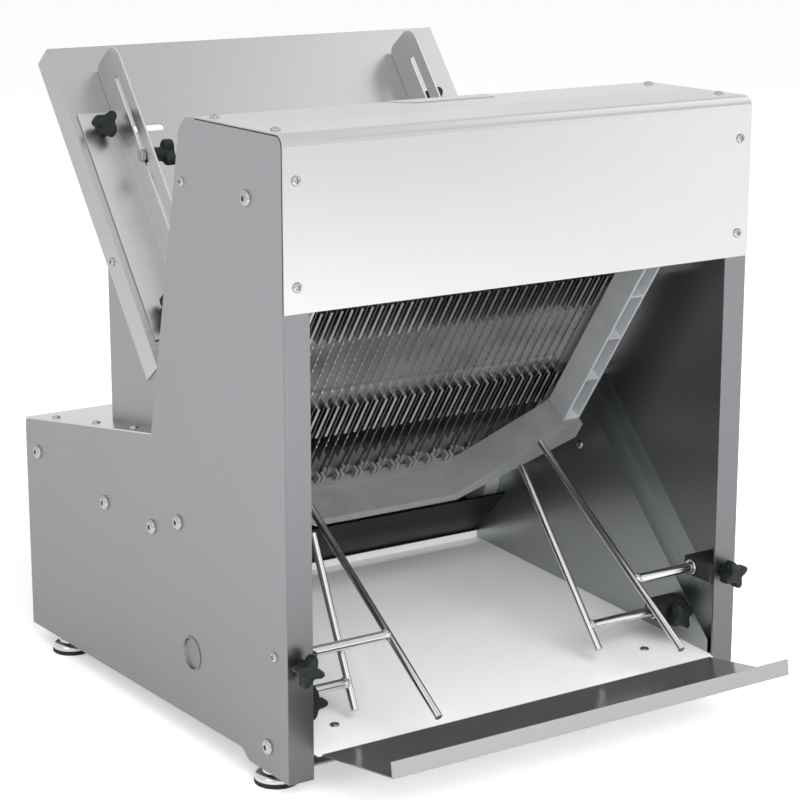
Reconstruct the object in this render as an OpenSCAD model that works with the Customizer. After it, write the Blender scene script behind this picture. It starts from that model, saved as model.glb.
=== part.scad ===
// Bench bread slicer: two counter-moving blade frames, a sloped infeed hopper and a front chute.
// Millimetres, +Z up, the chute faces -Y, the origin is on the floor under the middle of the machine.

/* [Housing] */
// Width over the two side panels
body_w = 560; // [550:2:580]
// Depth of the side panels
body_d = 572; // [570:1:585]
// Height of the tower part of the side panels
tower_h = 624; // [610:2:650]
// Depth of the tower at its top
tower_top_d = 190; // [180:2:205]
// Distance from the front to the foot of the tower's rear edge
notch_y = 267; // [262:1:275]
// Height of the rear box beside the tower
notch_z = 290; // [288:1:300]
// Height of the rear box at its back
box_rear_h = 243; // [236:1:250]
// Thickness of the panel sheet
sheet = 2; // [1.5:0.25:2.5]
// Width of the folded panel edges
flange_w = 28; // [26:0.5:29]
// Depth of the front leg of a side panel
leg_d = 76; // [72:1:82]
// Length of the curve behind the front leg
leg_curve = 14; // [12:1:18]
// Height of the cut-away behind the front leg
skirt_z = 9.5; // [8:0.25:9.75]
// Corner radius at the top rear of the tower
tower_r = 25; // [15:1:30]
// Corner radius at the top rear of the box
box_r = 12; // [8:1:16]
// Bend radius at the top front of the tower
front_r = 10; // [7:0.5:12]
// Height of the hood's front
hood_drop = 164; // [154:2:174]
// Depth of the hood's top face
hood_d = 160; // [150:1:164]
// Thickness of the hood and cover sheet
skin = 1.5; // [1:0.25:2]
// Depth of the hem along the hood's lower edge
hood_hem = 12; // [8:1:16]
// Cut-back of the rear cover behind the blade frames
cover_gap = 18; // [15:0.5:22]
// Height of the base plate's underside
base_z = 10; // [10:0.25:12]
// Gap between the front edge and the inner sheets
inner_front = 8; // [6:0.5:10]
// Height of the inner walls at the front
wall_front_z = 40; // [38:0.5:44]
// Distance from the front to the top of the inner walls' slope
wall_top_y = 245; // [240:1:250]
// Height of the top of the inner walls' slope
wall_top_z = 284; // [280:0.5:285]
// Height of the flange that fixes the sloped shelf to the side panel
shelf_flange = 20; // [16:1:22]
// Diameter of the hole plug in the left panel
plug_d = 33; // [28:1:36]
// Rim of the hole plug beyond its hole
plug_rim = 2; // [1.5:0.25:3]
// Height of the hole plug's face over the panel
plug_h = 1.5; // [1:0.25:2.5]
// Distance of the hole plug from the front
plug_y = 190; // [180:1:200]
// Height of the hole plug
plug_z = 77; // [72:1:84]

/* [Chute] */
// Front edge of the chute floor where the lip begins
crease_y = -4; // [-6:0.5:-3]
// Height of the chute floor at the lip
crease_z = 25.6; // [25:0.2:27]
// Rear end of the chute floor
tray_back = 437; // [434:0.5:438]
// Height of the chute floor at its rear end
tray_back_z = 46.8; // [45:0.2:48]
// Height of the chute floor's rear edge flange
tray_flange = 8; // [5:0.5:9]
// Reach of the lip in front of the housing
lip_reach = 127; // [118:1:132]
// Height of the lip's front edge
lip_z = 45; // [42:0.5:48]
// Height of the upturned edge of the lip
lip_edge = 15; // [10:0.5:18]
// Lip's end from the side of the body
lip_in = 35; // [30:0.5:42]
// Height of the bend in the drive cover
shield_z = 58; // [57:0.5:59]
// Length of the drive cover's sloped face
shield_l = 84; // [74:1:86]
// Slope of the drive cover
shield_slope = 45; // [44:0.5:46]

/* [Feet] */
// Height of the feet under the side panels
foot_h = 17; // [15:0.5:22]
// Diameter of a rubber foot
foot_d = 45; // [40:1:50]
// Height of a foot's rubber pad
foot_pad = 9; // [7:0.5:10]
// Diameter of a foot's steel hub
foot_hub_d = 28; // [24:1:32]
// Gap between a foot's hub and the panel
foot_gap = 2; // [1.5:0.25:3]
// Diameter of a foot's stem
foot_stem_d = 8; // [7:0.5:9]
// Foot axis from the side of the body
foot_in = 17; // [15:0.5:17.5]
// Distance of the front feet from the front
foot_front = 52; // [46:1:60]
// Rear foot axis from the back of the body
foot_back = 67; // [60:1:74]
// Height of the threaded boss over the base plate
boss_h = 14; // [10:1:18]
// Diameter of the threaded boss
boss_d = 16; // [14:0.5:17]

/* [Hopper] */
// Distance from the front to the bend of the hopper plate
hop_y = 302.5; // [300:0.5:305]
// Height of the bend of the hopper plate
hop_z = 350; // [346:0.5:354]
// Slope of the hopper plate
hop_slope = 52.3; // [51:0.1:54]
// Length of the hopper plate
hop_l = 390; // [380:2:400]
// Depth of the hopper plate's folded sides
hop_flange = 30; // [26:1:34]
// Depth of the hopper plate's folded top edge
hop_top = 12; // [8:1:16]
// Slope of the shelf below the hopper plate
shelf_slope = 25; // [24:0.25:27]
// Length of the shelf below the hopper plate
shelf_l = 74; // [70:0.5:76]
// End of the hopper's lower shelf from the side of the body
shelf_in = 85; // [84:0.5:90]
// Distance of the upper slots along the hopper plate
slot_upper = 283; // [276:1:290]
// Distance of the lower slots along the hopper plate
slot_lower = 58; // [50:1:66]
// Width of the slots
slot_w = 8; // [7.5:0.25:9]
// Length of the fence slots
slot_l = 89; // [85:1:95]
// Outer end of the fence slots from the side of the body
slot_edge = 45; // [42:0.5:47]
// Rear edge of the hopper gussets
gusset_back = 412; // [404:1:420]
// Front edge of the hopper gussets
gusset_front = 306; // [304:0.5:312]
// Width of the gussets' folded foot
gusset_foot = 20; // [16:1:24]

/* [Bread fences] */
// Left fence's face from the side of the body
fence_left_in = 80; // [78:1:84]
// Right fence's face from the side of the body
fence_right_in = 98; // [90:1:102]
// Thickness of the fence sheet
fence_t = 2; // [1.5:0.25:2.5]
// Width of a fence's base
fence_base = 44; // [42:0.5:46]
// Height of a fence's wall
fence_h = 55; // [50:1:62]
// Lower end of a fence's wall along the plate
fence_s0 = 40; // [36:1:44]
// Upper end of a fence's wall along the plate
fence_s1 = 362; // [350:1:372]
// Lower end of a fence's base along the plate
base_s0 = 30; // [26:1:34]
// Upper end of a fence's base along the plate
base_s1 = 305; // [300:1:312]
// Radius of the rounded upper end of a fence's wall
fence_r = 20; // [14:1:24]
// Lower end of the slot in a fence's wall
wall_slot_s0 = 95; // [88:1:105]
// Upper end of the slot in a fence's wall
wall_slot_s1 = 330; // [315:1:338]
// Height of the slot in a fence's wall
wall_slot_z = 35; // [32:0.5:38]
// Distance of the wall knob along the plate
wall_knob_s = 230; // [215:1:245]
// Gap between a knob's washer and the sheet
seat_gap = 0.3; // [0.2:0.05:0.4]

/* [Blades] */
// Lean of the blade plane from upright
lean = 34.8; // [34:0.1:35.5]
// Distance from the front to the blade plane's middle
plane_y = 241.6; // [240:0.2:243]
// Height of the blade plane's middle
plane_z = 269.6; // [268:0.2:271]
// Outermost front blade from the side member
blade_margin = 11; // [11:0.5:14]
// Blades on the front frame
front_count = 17; // [15:2:17]
// Thickness of a blade
blade_t = 0.6; // [0.5:0.05:0.8]
// Width of a blade
blade_w = 13; // [12:0.25:13]
// Lower end of the serrated edge
blade_low = -38; // [-42:1:-34]
// Number of teeth on a blade
teeth = 30; // [24:1:34]
// Upper end of the blades under the upper beams
blade_end = 30; // [28:0.5:34]
// Depth of the teeth
tooth_h = 2.2; // [1.5:0.1:3]
// Gap between a blade's end tongue and the blade plane
tang_gap = 0.5; // [0.5:0.1:1]

/* [Blade frames] */
// Inner face of the frames' side members from the side of the body
side_in = 77; // [76:0.5:78]
// Width of the frames' side members
side_w = 22; // [20:0.5:23]
// Face of the frames next to the blade plane
cast_near = 9; // [8.5:0.25:9]
// Face of the frames away from the blade plane
cast_far = 42; // [40:0.5:43]
// Lower end of the side members
side_low = 5; // [3:0.5:7]
// Lower edge of the upper beams along the blade plane, as a share of the tower's height
top_share = 0.42; // [0.415:0.001:0.425]
// Height of the upper beams
top_h = 20; // [16:1:24]
// Wall thickness of the ribbed side members
cast_wall = 3; // [2.5:0.25:4]
// Number of pockets in a side member
pockets = 4; // [3:1:6]
// Depth of the pockets
pocket_deep = 20; // [14:1:24]
// Upper face of the front lower beam in its middle
boat_z = -83; // [-84:0.5:-82]
// Half width of the flat middle of the front lower beam
boat_x = 87; // [84:1:92]
// Thickness of the front lower beam
boat_t = 10; // [8:0.5:11]
// Depth of the front lower beam's outer end
boat_end = 22; // [18:1:26]
// Front face of the front lower beam
boat_far = 51; // [48:0.5:52]
// Height of the bar that carries the blade hooks
hook_bar = 7; // [6:0.5:8]
// Inner face of the hook bars
hook_bar_near = 2; // [1.5:0.25:2.5]
// Width of a blade hook
hook_w = 9; // [8:0.25:10]
// Height of a blade hook
hook_h = 18; // [16:0.5:20]
// Inner face of the hooks
hook_near = 1; // [0.75:0.25:1.5]
// Slot in a hook for the blade's end
hook_slot = 1.6; // [1.4:0.1:2]
// Inset of a blade's end below the hook's face
tang_in = 10; // [8:0.5:10.5]
// Height of the rear lower beam
rear_beam_h = 12; // [10:0.5:13]
// Stroke of the frames to either side
stroke = 15; // [13:0.5:15]
// Middle of a slide tongue from the blade plane
tongue_n = 14; // [13.75:0.25:14.5]
// Thickness of a slide tongue
tongue_t = 6; // [5:0.25:6.5]
// Reach of a slide tongue beyond the side member
tongue_out = 19; // [17:0.5:19.5]
// Lower end of the slide tongues
tongue_low = 12; // [10:1:20]
// Upper end of the slide tongues under the upper beams
tongue_drop = 60; // [52:1:80]
// Thickness of a slide rail
rail_w = 20; // [18:0.5:20.5]
// Depth of a slide rail
rail_n = 14; // [13.5:0.25:14.25]
// Lower end of the slide rails
rail_low = -60; // [-64:1:-50]
// Upper end of the slide rails under the upper beams
rail_drop = 22; // [18:1:30]
// Clearance between a tongue and its groove
slide_gap = 1; // [0.6:0.1:1.4]
// Height of a rail bracket
bracket_h = 30; // [24:1:36]
// Lower edge of the rail brackets under the upper beams
bracket_drop = 57; // [54:1:62]

/* [Combs] */
// Thickness of a comb finger
finger_t = 3; // [2:0.25:3.5]
// Front edge of the comb fingers
finger_front = 7; // [6:0.25:7.5]
// Rear edge of the comb fingers
finger_back = 18; // [17:0.5:19]
// Lower end of the lower comb
comb_low = 2; // [0:0.5:4]
// Height of the combs
comb_h = 46; // [44:1:48]
// Lower edge of the upper comb under the upper beams
comb_drop = 112; // [108:1:116]
// Diameter of the combs' cross rod
comb_rod_d = 8; // [6:0.5:8]
// Distance of the combs' cross rod from the blade plane
comb_rod_n = 12; // [12:0.25:13]
// Thickness of the combs' end plates
comb_plate = 3; // [2:0.25:3]
// End plate of the combs from the side of the body
comb_plate_in = 83.5; // [83:0.25:84]
// Width of the combs' mounting arms
comb_arm = 15; // [12:0.5:15]
// Thickness of the combs' mounting arms
comb_arm_n = 12; // [10:0.5:12]
// Distance of the mounting arms from the combs' lower end
comb_arm_at = 29; // [28.5:0.25:31]

/* [Drive] */
// Distance from the front to the crankshaft
crank_y = 422; // [421:0.5:424]
// Height of the crankshaft
crank_z = 130; // [129:0.5:132]
// Diameter of the crankshaft
shaft_d = 25; // [20:1:26]
// Diameter of the crank pins
pin_d = 18; // [16:0.5:20]
// Diameter of the crank webs
web_d = 60; // [56:1:62]
// Thickness of the crank webs
web_t = 8; // [6:0.5:10]
// Distance of the two crank pins from the middle
throw_x = 45; // [44:1:48]
// Length of the crank pins
pin_l = 18; // [17.5:0.25:19]
// Thickness of a connecting rod
rod_t = 14; // [12:0.5:15]
// Outer diameter of a connecting rod's big end
big_end_d = 36; // [33:0.5:36]
// Outer diameter of a connecting rod's small end
small_end_d = 26; // [24:0.5:26]
// Width of a connecting rod's shank
shank_w = 14; // [10:0.5:16]
// Clearance around the turning pins
run_gap = 0.3; // [0.3:0.05:0.4]
// Height of the wrist pins along the blade plane
wrist_u = -145; // [-147:0.5:-144]
// Distance of the wrist pins from the blade plane
wrist_n = 28; // [27:0.5:29]
// Diameter of the wrist pins
wrist_d = 12; // [10:0.5:13]
// Thickness of a fork cheek
fork_t = 6; // [5:0.5:7]
// Gap between a fork cheek and the connecting rod
fork_gap = 1.5; // [1.5:0.25:2]
// Gap between a wrist pin's stub and the connecting rod
stub_gap = 0.5; // [0.4:0.1:0.8]
// Diameter of a bearing housing
bearing_d = 62; // [56:1:66]
// Thickness of a bearing housing
bearing_t = 20; // [16:1:24]
// Size of a bearing housing's lugs
bearing_lug = 16; // [14:0.5:20]
// Diameter of the wall holes behind the bearings
wall_hole_d = 32; // [30:1:36]
// Distance from the front to the motor shaft
motor_y = 499; // [498:0.5:502]
// Height of the motor shaft
motor_z = 97; // [96:0.5:99]
// Diameter of the motor
motor_d = 114; // [108:1:116]
// Motor's end from the crank throw
motor_clear = 35; // [31:1:45]
// Motor body's end from the inner wall
motor_gap = 22; // [22:1:36]
// Diameter of the motor's flange
motor_flange_d = 80; // [70:1:90]
// Width of the motor's base
motor_foot = 70; // [60:1:76]
// Length of the motor's base
motor_foot_l = 110; // [90:2:120]
// Diameter of the motor shaft
motor_shaft_d = 14; // [12:0.5:16]
// Radius of the belt's inner face on the driven pulley
driven_r = 48; // [46:0.5:50]
// Speed ratio of the belt drive
belt_ratio = 2; // [1.9:0.1:2.2]
// Thickness of the belt
belt_t = 5; // [4:0.5:6]
// Width of the belt
belt_w = 10; // [8:0.5:11]
// Clearance between the belt and the pulleys
belt_gap = 0.4; // [0.3:0.1:0.5]
// Thickness of a pulley rim
rim_t = 2.5; // [2:0.25:3]
// Height of a pulley rim over the belt seat
rim_h = 3; // [2:0.5:4]
// Gap between the inner wall and the pulleys
pulley_gap = 3; // [2.5:0.25:3.5]
// Spacing of the air slots in the rear panel
vent_pitch = 14; // [12:0.5:15]
// Length of an air slot
vent_l = 22; // [18:1:23]
// Width of an air slot
vent_w = 5; // [4:0.5:6]

/* [Guide rods] */
// Diameter of the cross rods
cross_d = 10; // [9:0.5:11]
// Diameter of the long rods
long_d = 8; // [7:0.5:8.5]
// Distance from the front to the upper cross rods
upper_rod_y = 30; // [28:0.5:31]
// Height of the upper cross rods
upper_rod_z = 118; // [117:0.5:120]
// Distance from the front to the lower cross rods
lower_rod_y = 61; // [60:0.5:63]
// Height of the lower cross rods
lower_rod_z = 64; // [63:0.5:66]
// Weld of the upper right rod from the side of the body
rod_ur_in = 114; // [108:1:120]
// Weld of the upper left rod from the side of the body
rod_ul_in = 134; // [130:1:140]
// Weld of the lower right rod from the side of the body
rod_lr_in = 149; // [144:1:155]
// Weld of the lower left rod from the side of the body
rod_ll_in = 106; // [100:1:110]
// Slope of the upper right long rod
slope_ur = 34.2; // [33:0.2:36]
// Slope of the upper left long rod
slope_ul = 33.4; // [32:0.2:36]
// Slope of the lower right long rod
slope_lr = 50.2; // [49:0.2:52]
// Slope of the lower left long rod
slope_ll = 64.9; // [63:0.2:67]
// Length of the upper right long rod behind its cross rod
back_ur = 202; // [190:1:206]
// Length of the upper left long rod behind its cross rod
back_ul = 172; // [165:1:185]
// Length of the lower right long rod behind its cross rod
back_lr = 194; // [185:1:200]
// Length of the lower left long rod behind its cross rod
back_ll = 153; // [145:1:165]
// Length of the upper right long rod before its cross rod
fore_ur = 96; // [88:1:100]
// Length of the upper left long rod before its cross rod
fore_ul = 105; // [98:1:110]
// Length of the lower long rods before their cross rods
fore_low = 28; // [24:1:30]
// Inner face of the upper clamp blocks from the side of the body
upper_block_in = 34; // [32:0.5:36]
// Depth of the upper clamp blocks
upper_block_d = 40; // [38:0.5:40.5]
// Height of the clamp blocks
block_h = 20; // [18:0.5:22]
// Inner face of the lower clamp blocks from the side of the body
lower_block_in = 60; // [58:0.5:63]
// Depth of the lower clamp blocks
lower_block_d = 28; // [26:0.5:30]
// Outer end of the lower cross rods from the side of the body
lower_rod_in = 8; // [6:0.5:12]
// Gap between the upper cross rods and the side panels
rod_end_gap = 2; // [1.5:0.25:3]

/* [Knobs] */
// Diameter of the chute clamp knobs
clamp_knob_d = 33; // [30:0.5:34]
// Diameter of the fence knobs
fence_knob_d = 32; // [30:0.5:34]
// Diameter of a knob's lobes
lobe_d = 12; // [10:0.5:13]
// Height of a knob's head
knob_h = 13; // [11:0.5:15]
// Diameter of a knob's hub
knob_hub_d = 16; // [14:0.5:18]
// Height of a knob's hub below the head
knob_hub_h = 8; // [6:0.5:10]
// Height of a wall knob's hub below the head
wall_knob_hub = 18; // [14:0.5:20]
// Diameter of the fence knobs' threaded stem
stem_d = 6; // [5.5:0.25:6.5]
// Diameter of the chute clamp knobs' threaded stem
clamp_stem_d = 8; // [7:0.5:9]
// Diameter of the nut under a fence
nut_d = 14; // [12:0.5:16]
// Thickness of the nut under a fence
nut_t = 5; // [4:0.5:6]
// Upper clamp knobs from the side of the body
upper_knob_in = 14; // [13:0.5:17]
// Lower clamp knobs from the side of the body
lower_knob_in = 46; // [45:0.5:47]

/* [Fasteners and controls] */
// Diameter of the large panel screw heads
big_head_d = 16; // [14:0.5:18]
// Height of the large panel screw heads
big_head_h = 4; // [3:0.25:5]
// Diameter of the small panel screw heads
small_head_d = 10; // [8:0.5:11]
// Height of the small screw heads
small_head_h = 2.5; // [2:0.25:3]
// Distance of the hood and cover screws from the panel edge
edge_in = 14; // [12:0.5:15]
// Distance from the front to the switch plate
switch_y = 150; // [140:1:160]
// Height of the switch plate
switch_z = 110; // [100:1:118]
// Width of the switch plate
switch_w = 50; // [46:1:56]
// Height of the switch plate
switch_h = 96; // [90:1:104]
// Thickness of the switch plate
switch_t = 3; // [2:0.25:4]
// Distance of the buttons from the switch plate's middle
button_z = 23; // [21:0.5:25]
// Diameter of the buttons
button_d = 22; // [20:0.5:24]
// Diameter of the button collars
collar_d = 30; // [28:0.5:32]
// Height of the button collars
collar_h = 3; // [2:0.25:4]
// Reach of the start button over its collar
start_out = 3.2; // [3:0.1:4]
// Reach of the stop button over its collar
stop_out = 5; // [4:0.25:6]
// Clearance around the buttons
button_gap = 0.4; // [0.3:0.05:0.6]
// Travel of a button
button_travel = 2.5; // [2:0.1:2.9]
// Depth of a button behind the panel
button_in = 12; // [10:1:16]
// Diameter of the contact block behind the buttons
contact_d = 27; // [26:0.5:30]
// Depth of the contact block behind the panel
contact_l = 20; // [18:0.5:22]
// Distance of the cable gland from the middle
gland_x = -120; // [-140:2:-100]
// Height of the cable gland
gland_z = 60; // [50:1:80]
// Diameter of the cable gland
gland_d = 24; // [20:1:28]
// Reach of the cable gland behind the rear panel
gland_out = 14; // [12:0.5:16]
// Bore of the cable gland
gland_bore = 9; // [7:0.5:10]

/* [Hidden] */
$fn = 48;
over = 1;
half_w = body_w / 2;
inner_w = half_w - sheet;
wall_x = half_w - flange_w;
front_y = -(body_d + gland_out - lip_reach) / 2;
hood_z = tower_h - hood_drop;
lip_x = half_w - lip_in;
foot_x = half_w - foot_in;
foot_rear = body_d - foot_back;
shelf_x = half_w - shelf_in;
slot_out = half_w - slot_edge;
slot_in = slot_out - slot_l;
fence_left = half_w - fence_left_in;
fence_right = half_w - fence_right_in;
side_x = half_w - side_in;
blade_pitch = (side_x - blade_margin) / (front_count - 1);
top_low = tower_h * top_share;
tooth_pitch = (top_low - blade_end - blade_low) / teeth;
tongue_l = top_low - tongue_drop - tongue_low;
rail_l = top_low - rail_drop - rail_low;
bracket_low = top_low - bracket_drop;
comb_high = top_low - comb_drop;
comb_plate_x = half_w - comb_plate_in;
motor_in = throw_x + motor_clear;
motor_l = wall_x - motor_gap - motor_in;
rod_ur = half_w - rod_ur_in;
rod_ul = half_w - rod_ul_in;
rod_lr = half_w - rod_lr_in;
rod_ll = half_w - rod_ll_in;
upper_block_x = half_w - upper_block_in;
lower_block_x = half_w - lower_block_in;
lower_rod_out = half_w - lower_rod_in;
upper_knob_x = half_w - upper_knob_in;
lower_knob_x = half_w - lower_knob_in;
base_top = base_z + sheet;
rear_in = body_d - 2 * sheet;
box_slope = atan((notch_z - box_rear_h) / (body_d - notch_y));
box_len = (body_d - notch_y) / cos(box_slope);
wall_slope = atan((wall_top_z - wall_front_z) / (wall_top_y - inner_front));
wall_len = (wall_top_y - inner_front) / cos(wall_slope);
tray_slope = atan((tray_back_z - crease_z) / (tray_back - crease_y));
tray_len = (tray_back - crease_y) / cos(tray_slope);
lip_slope = atan((lip_z - crease_z) / (lip_reach + crease_y));
lip_len = (lip_reach + crease_y) / cos(lip_slope);
stem_hole = foot_stem_d / 2 + run_gap;
side_out = side_x + side_w;
blade_high = blade_low + teeth * tooth_pitch;
front_half = (front_count - 1) / 2;
comb_half = front_count - 1;
rail_x = wall_x - rail_w;
driver_r = driven_r / belt_ratio;
wrist_y = plane_y - wrist_u * sin(lean) + wrist_n * cos(lean);
wrist_z = plane_z + wrist_u * cos(lean) + wrist_n * sin(lean);
swing_y = stroke * cos(lean);
swing_z = stroke * sin(lean);
pulley_x = wall_x + sheet + pulley_gap;
pulley_w = belt_w + 2 * belt_gap + 2 * rim_t;
belt_x = pulley_x + rim_t + belt_gap;
belt_dy = motor_y - crank_y;
belt_dz = motor_z - crank_z;
belt_span = norm([belt_dy, belt_dz]);
belt_turn = atan2(belt_dz, belt_dy);
belt_wrap = acos((driven_r - driver_r) / belt_span);
belt_steps = 40;
base_knob_in = fence_base / 2;
// Large tower screws, as shares of the tower's top depth and height
big_tower_shares = [[0.343, 0.897], [0.205, 0.043]];
// Large rear box screws, as shares of the body's depth and the box's rear height
big_box_shares = [[0.948, 0.865], [0.659, 0.786], [0.472, 0.786], [0.372, 0.865]];
// Small tower screws, as shares of the tower's top depth and height
small_tower_shares = [[1, 0.897], [0.132, 0.197]];
// Hood front screws, shares of the tower height
hood_front_shares = [0.777, 0.934];
// Hood top screws, shares of the hood depth
hood_top_shares = [0.212, 0.919];
// Rear cover screws, shares of the cover length
cover_shares = [0.207, 0.502, 0.83];

steel = [0.68, 0.68, 0.7];
polished = [0.86, 0.87, 0.88];
casting = [0.62, 0.63, 0.64];
black = [0.13, 0.14, 0.15];
dark_steel = [0.4, 0.41, 0.42];

function unit(v) = v / norm(v);

// Points of a round corner at b between the edges to a and c
function corner(a, b, c, r, n) =
    let (
        d1 = unit(a - b),
        d2 = unit(c - b),
        half = acos(d1 * d2) / 2,
        mid = b + unit(d1 + d2) * r / sin(half),
        p1 = b + d1 * r / tan(half) - mid,
        p2 = b + d2 * r / tan(half) - mid,
        a1 = atan2(p1[1], p1[0]),
        turn = (atan2(p2[1], p2[0]) - a1 + 540) % 360 - 180
    )
    [for (i = [0 : n]) mid + r * [cos(a1 + turn * i / n), sin(a1 + turn * i / n)]];

// Outline with the corners rounded by the given radii
function rounded(pts, radii, n = 6) =
    let (k = len(pts))
    [for (i = [0 : k - 1])
        each radii[i] > 0
            ? corner(pts[(i + k - 1) % k], pts[i], pts[(i + 1) % k], radii[i], n)
            : [pts[i]]];

function plate_z(y) = hop_z + (y - hop_y) * tan(hop_slope);
function tray_z(y) = crease_z + (y - crease_y) * tan(tray_slope);
function cover_z(y) = notch_z - (y - notch_y) * tan(box_slope) + skin / cos(box_slope);

module in_machine() {
    translate([0, front_y, foot_h]) children();
}

module in_blade_plane() {
    in_machine() translate([0, plane_y, plane_z]) rotate([lean, 0, 0]) children();
}

module on_hopper() {
    in_machine() translate([0, hop_y, hop_z]) rotate([hop_slope, 0, 0]) children();
}

module on_cover() {
    in_machine() translate([0, notch_y, notch_z]) rotate([-box_slope, 0, 0]) children();
}

// Outline in Y and Z, pulled along X from x0 to x1
module across(x0, x1) {
    translate([x0, 0, 0]) rotate([90, 0, 90]) linear_extrude(x1 - x0) children();
}

// Outline in X and Z, pulled along Y from y0 to y1
module through(y0, y1) {
    translate([0, y1, 0]) rotate([90, 0, 0]) linear_extrude(y1 - y0) children();
}

module box(p, q) {
    translate(p) cube(q - p);
}

module bar_x(x0, x1, y, z, d) {
    translate([x0, y, z]) rotate([0, 90, 0]) cylinder(h = x1 - x0, d = d);
}

module bar_y(y0, y1, x, z, d) {
    translate([x, y0, z]) rotate([-90, 0, 0]) cylinder(h = y1 - y0, d = d);
}

module bar_z(z0, z1, x, y, d) {
    translate([x, y, z0]) cylinder(h = z1 - z0, d = d);
}

module left_side() {
    mirror([1, 0, 0]) children();
}

module both_sides() {
    children();
    mirror([1, 0, 0]) children();
}

// Round-ended slot along X
module slot_outline(x0, x1, w) {
    translate([x0 + w / 2, -w / 2]) square([x1 - x0 - w, w]);
    for (x = [x0 + w / 2, x1 - w / 2]) {
        translate([x, 0]) circle(d = w);
    }
}

// Right side panel with its folded edges
module panel_blank() {
    difference() {
        union() {
            across(inner_w, half_w) polygon(rounded(
                [[0, 0], [leg_d, 0], [leg_d + leg_curve, skirt_z], [body_d, 0], [body_d, box_rear_h],
                    [notch_y, notch_z], [tower_top_d, tower_h], [0, tower_h]],
                [0, leg_curve / 2, leg_curve / 2, 0, box_r, 0, tower_r, front_r]));
            box([half_w - flange_w, 0, 0], [half_w, sheet, tower_h - front_r]);
            box([half_w - flange_w, front_r, tower_h - sheet], [half_w, hood_d, tower_h]);
            box([half_w - flange_w, body_d - sheet, sheet], [half_w, body_d, box_rear_h - box_r]);
            box([half_w - flange_w, 0, 0], [half_w, leg_d, sheet]);
            translate([0, notch_y, notch_z]) rotate([-box_slope, 0, 0])
                box([half_w - flange_w, sheet, -sheet], [half_w, box_len - box_r, 0]);
        }
        bar_z(-over, sheet + over, foot_x, foot_front, 2 * stem_hole);
        bar_y(-over, sheet + over, upper_knob_x, upper_rod_z, clamp_stem_d + 2 * run_gap);
    }
}

module right_panel() {
    color(steel) in_machine() difference() {
        panel_blank();
        for (s = [-1, 1]) {
            bar_x(inner_w - over, half_w + over, switch_y, switch_z + s * button_z, contact_d);
        }
    }
}

module left_panel() {
    color(steel) in_machine() difference() {
        left_side() panel_blank();
        bar_x(-half_w - over, -inner_w + over, plug_y, plug_z, plug_d);
    }
}

module base_plate() {
    color(steel) in_machine() difference() {
        union() {
            box([-inner_w, inner_front, base_z], [inner_w, rear_in, base_top]);
            both_sides() for (y = [foot_front, foot_rear]) {
                bar_z(base_top - sheet / 2, base_top + boss_h, foot_x, y, boss_d);
            }
        }
        both_sides() for (y = [foot_front, foot_rear]) {
            bar_z(base_z - over, base_top + boss_h + over, foot_x, y, 2 * stem_hole);
        }
    }
}

module rear_panel() {
    color(steel) in_machine() difference() {
        box([-inner_w, rear_in, base_z], [inner_w, body_d - sheet, box_rear_h - hood_hem - sheet]);
        bar_y(rear_in - over, body_d, gland_x, gland_z, gland_bore + 2 * skin);
        for (i = [-3 : 3], j = [0 : 2]) {
            translate([-gland_x + i * vent_pitch, 0, motor_z + j * 2 * vent_pitch])
                through(rear_in - over, body_d) rotate(90) slot_outline(-vent_l / 2, vent_l / 2, vent_w);
        }
    }
}

module rear_cover() {
    color(polished) on_cover() {
        difference() {
            box([-half_w, 0, 0], [half_w, box_len, skin]);
            box([-wall_x, -over, -over], [wall_x, cover_gap, skin + over]);
        }
        box([-half_w + flange_w, box_len - skin, -hood_hem], [half_w - flange_w, box_len, skin]);
    }
}

module front_hood() {
    color(polished) in_machine() {
        across(-half_w, half_w) polygon(rounded(
            [[-skin, hood_z], [-skin, tower_h + skin], [hood_d, tower_h + skin], [hood_d, tower_h],
                [0, tower_h], [0, hood_z]],
            [0, front_r + skin, 0, 0, front_r, 0]));
        box([-wall_x + sheet, -skin, hood_z], [wall_x - sheet, hood_hem, hood_z + skin]);
    }
}

// Inner wall on the right with its sloped shelf, folded out to the side panel
module inner_wall() {
    difference() {
        union() {
            across(wall_x, wall_x + sheet) polygon([
                [inner_front, base_top], [inner_front, wall_front_z], [wall_top_y, wall_top_z],
                [notch_y, wall_top_z], [rear_in, cover_z(rear_in) - skin - sheet * 2],
                [rear_in, base_top]]);
            translate([0, inner_front, wall_front_z]) rotate([wall_slope, 0, 0]) {
                box([wall_x, sheet, -sheet], [inner_w, wall_len, 0]);
                box([inner_w - sheet, shelf_flange, -sheet], [inner_w, wall_len, shelf_flange]);
            }
        }
        bar_x(wall_x - over, wall_x + sheet + over, crank_y, crank_z, wall_hole_d);
        bar_x(wall_x - over, wall_x + sheet + over, lower_rod_y, lower_rod_z, cross_d + 2 * run_gap);
    }
}

module inner_wall_right() {
    color(dark_steel) in_machine() difference() {
        inner_wall();
        bar_x(wall_x - over, wall_x + sheet + over, motor_y, motor_z, wall_hole_d);
    }
}

module inner_wall_left() {
    color(dark_steel) in_machine() left_side() inner_wall();
}

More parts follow.
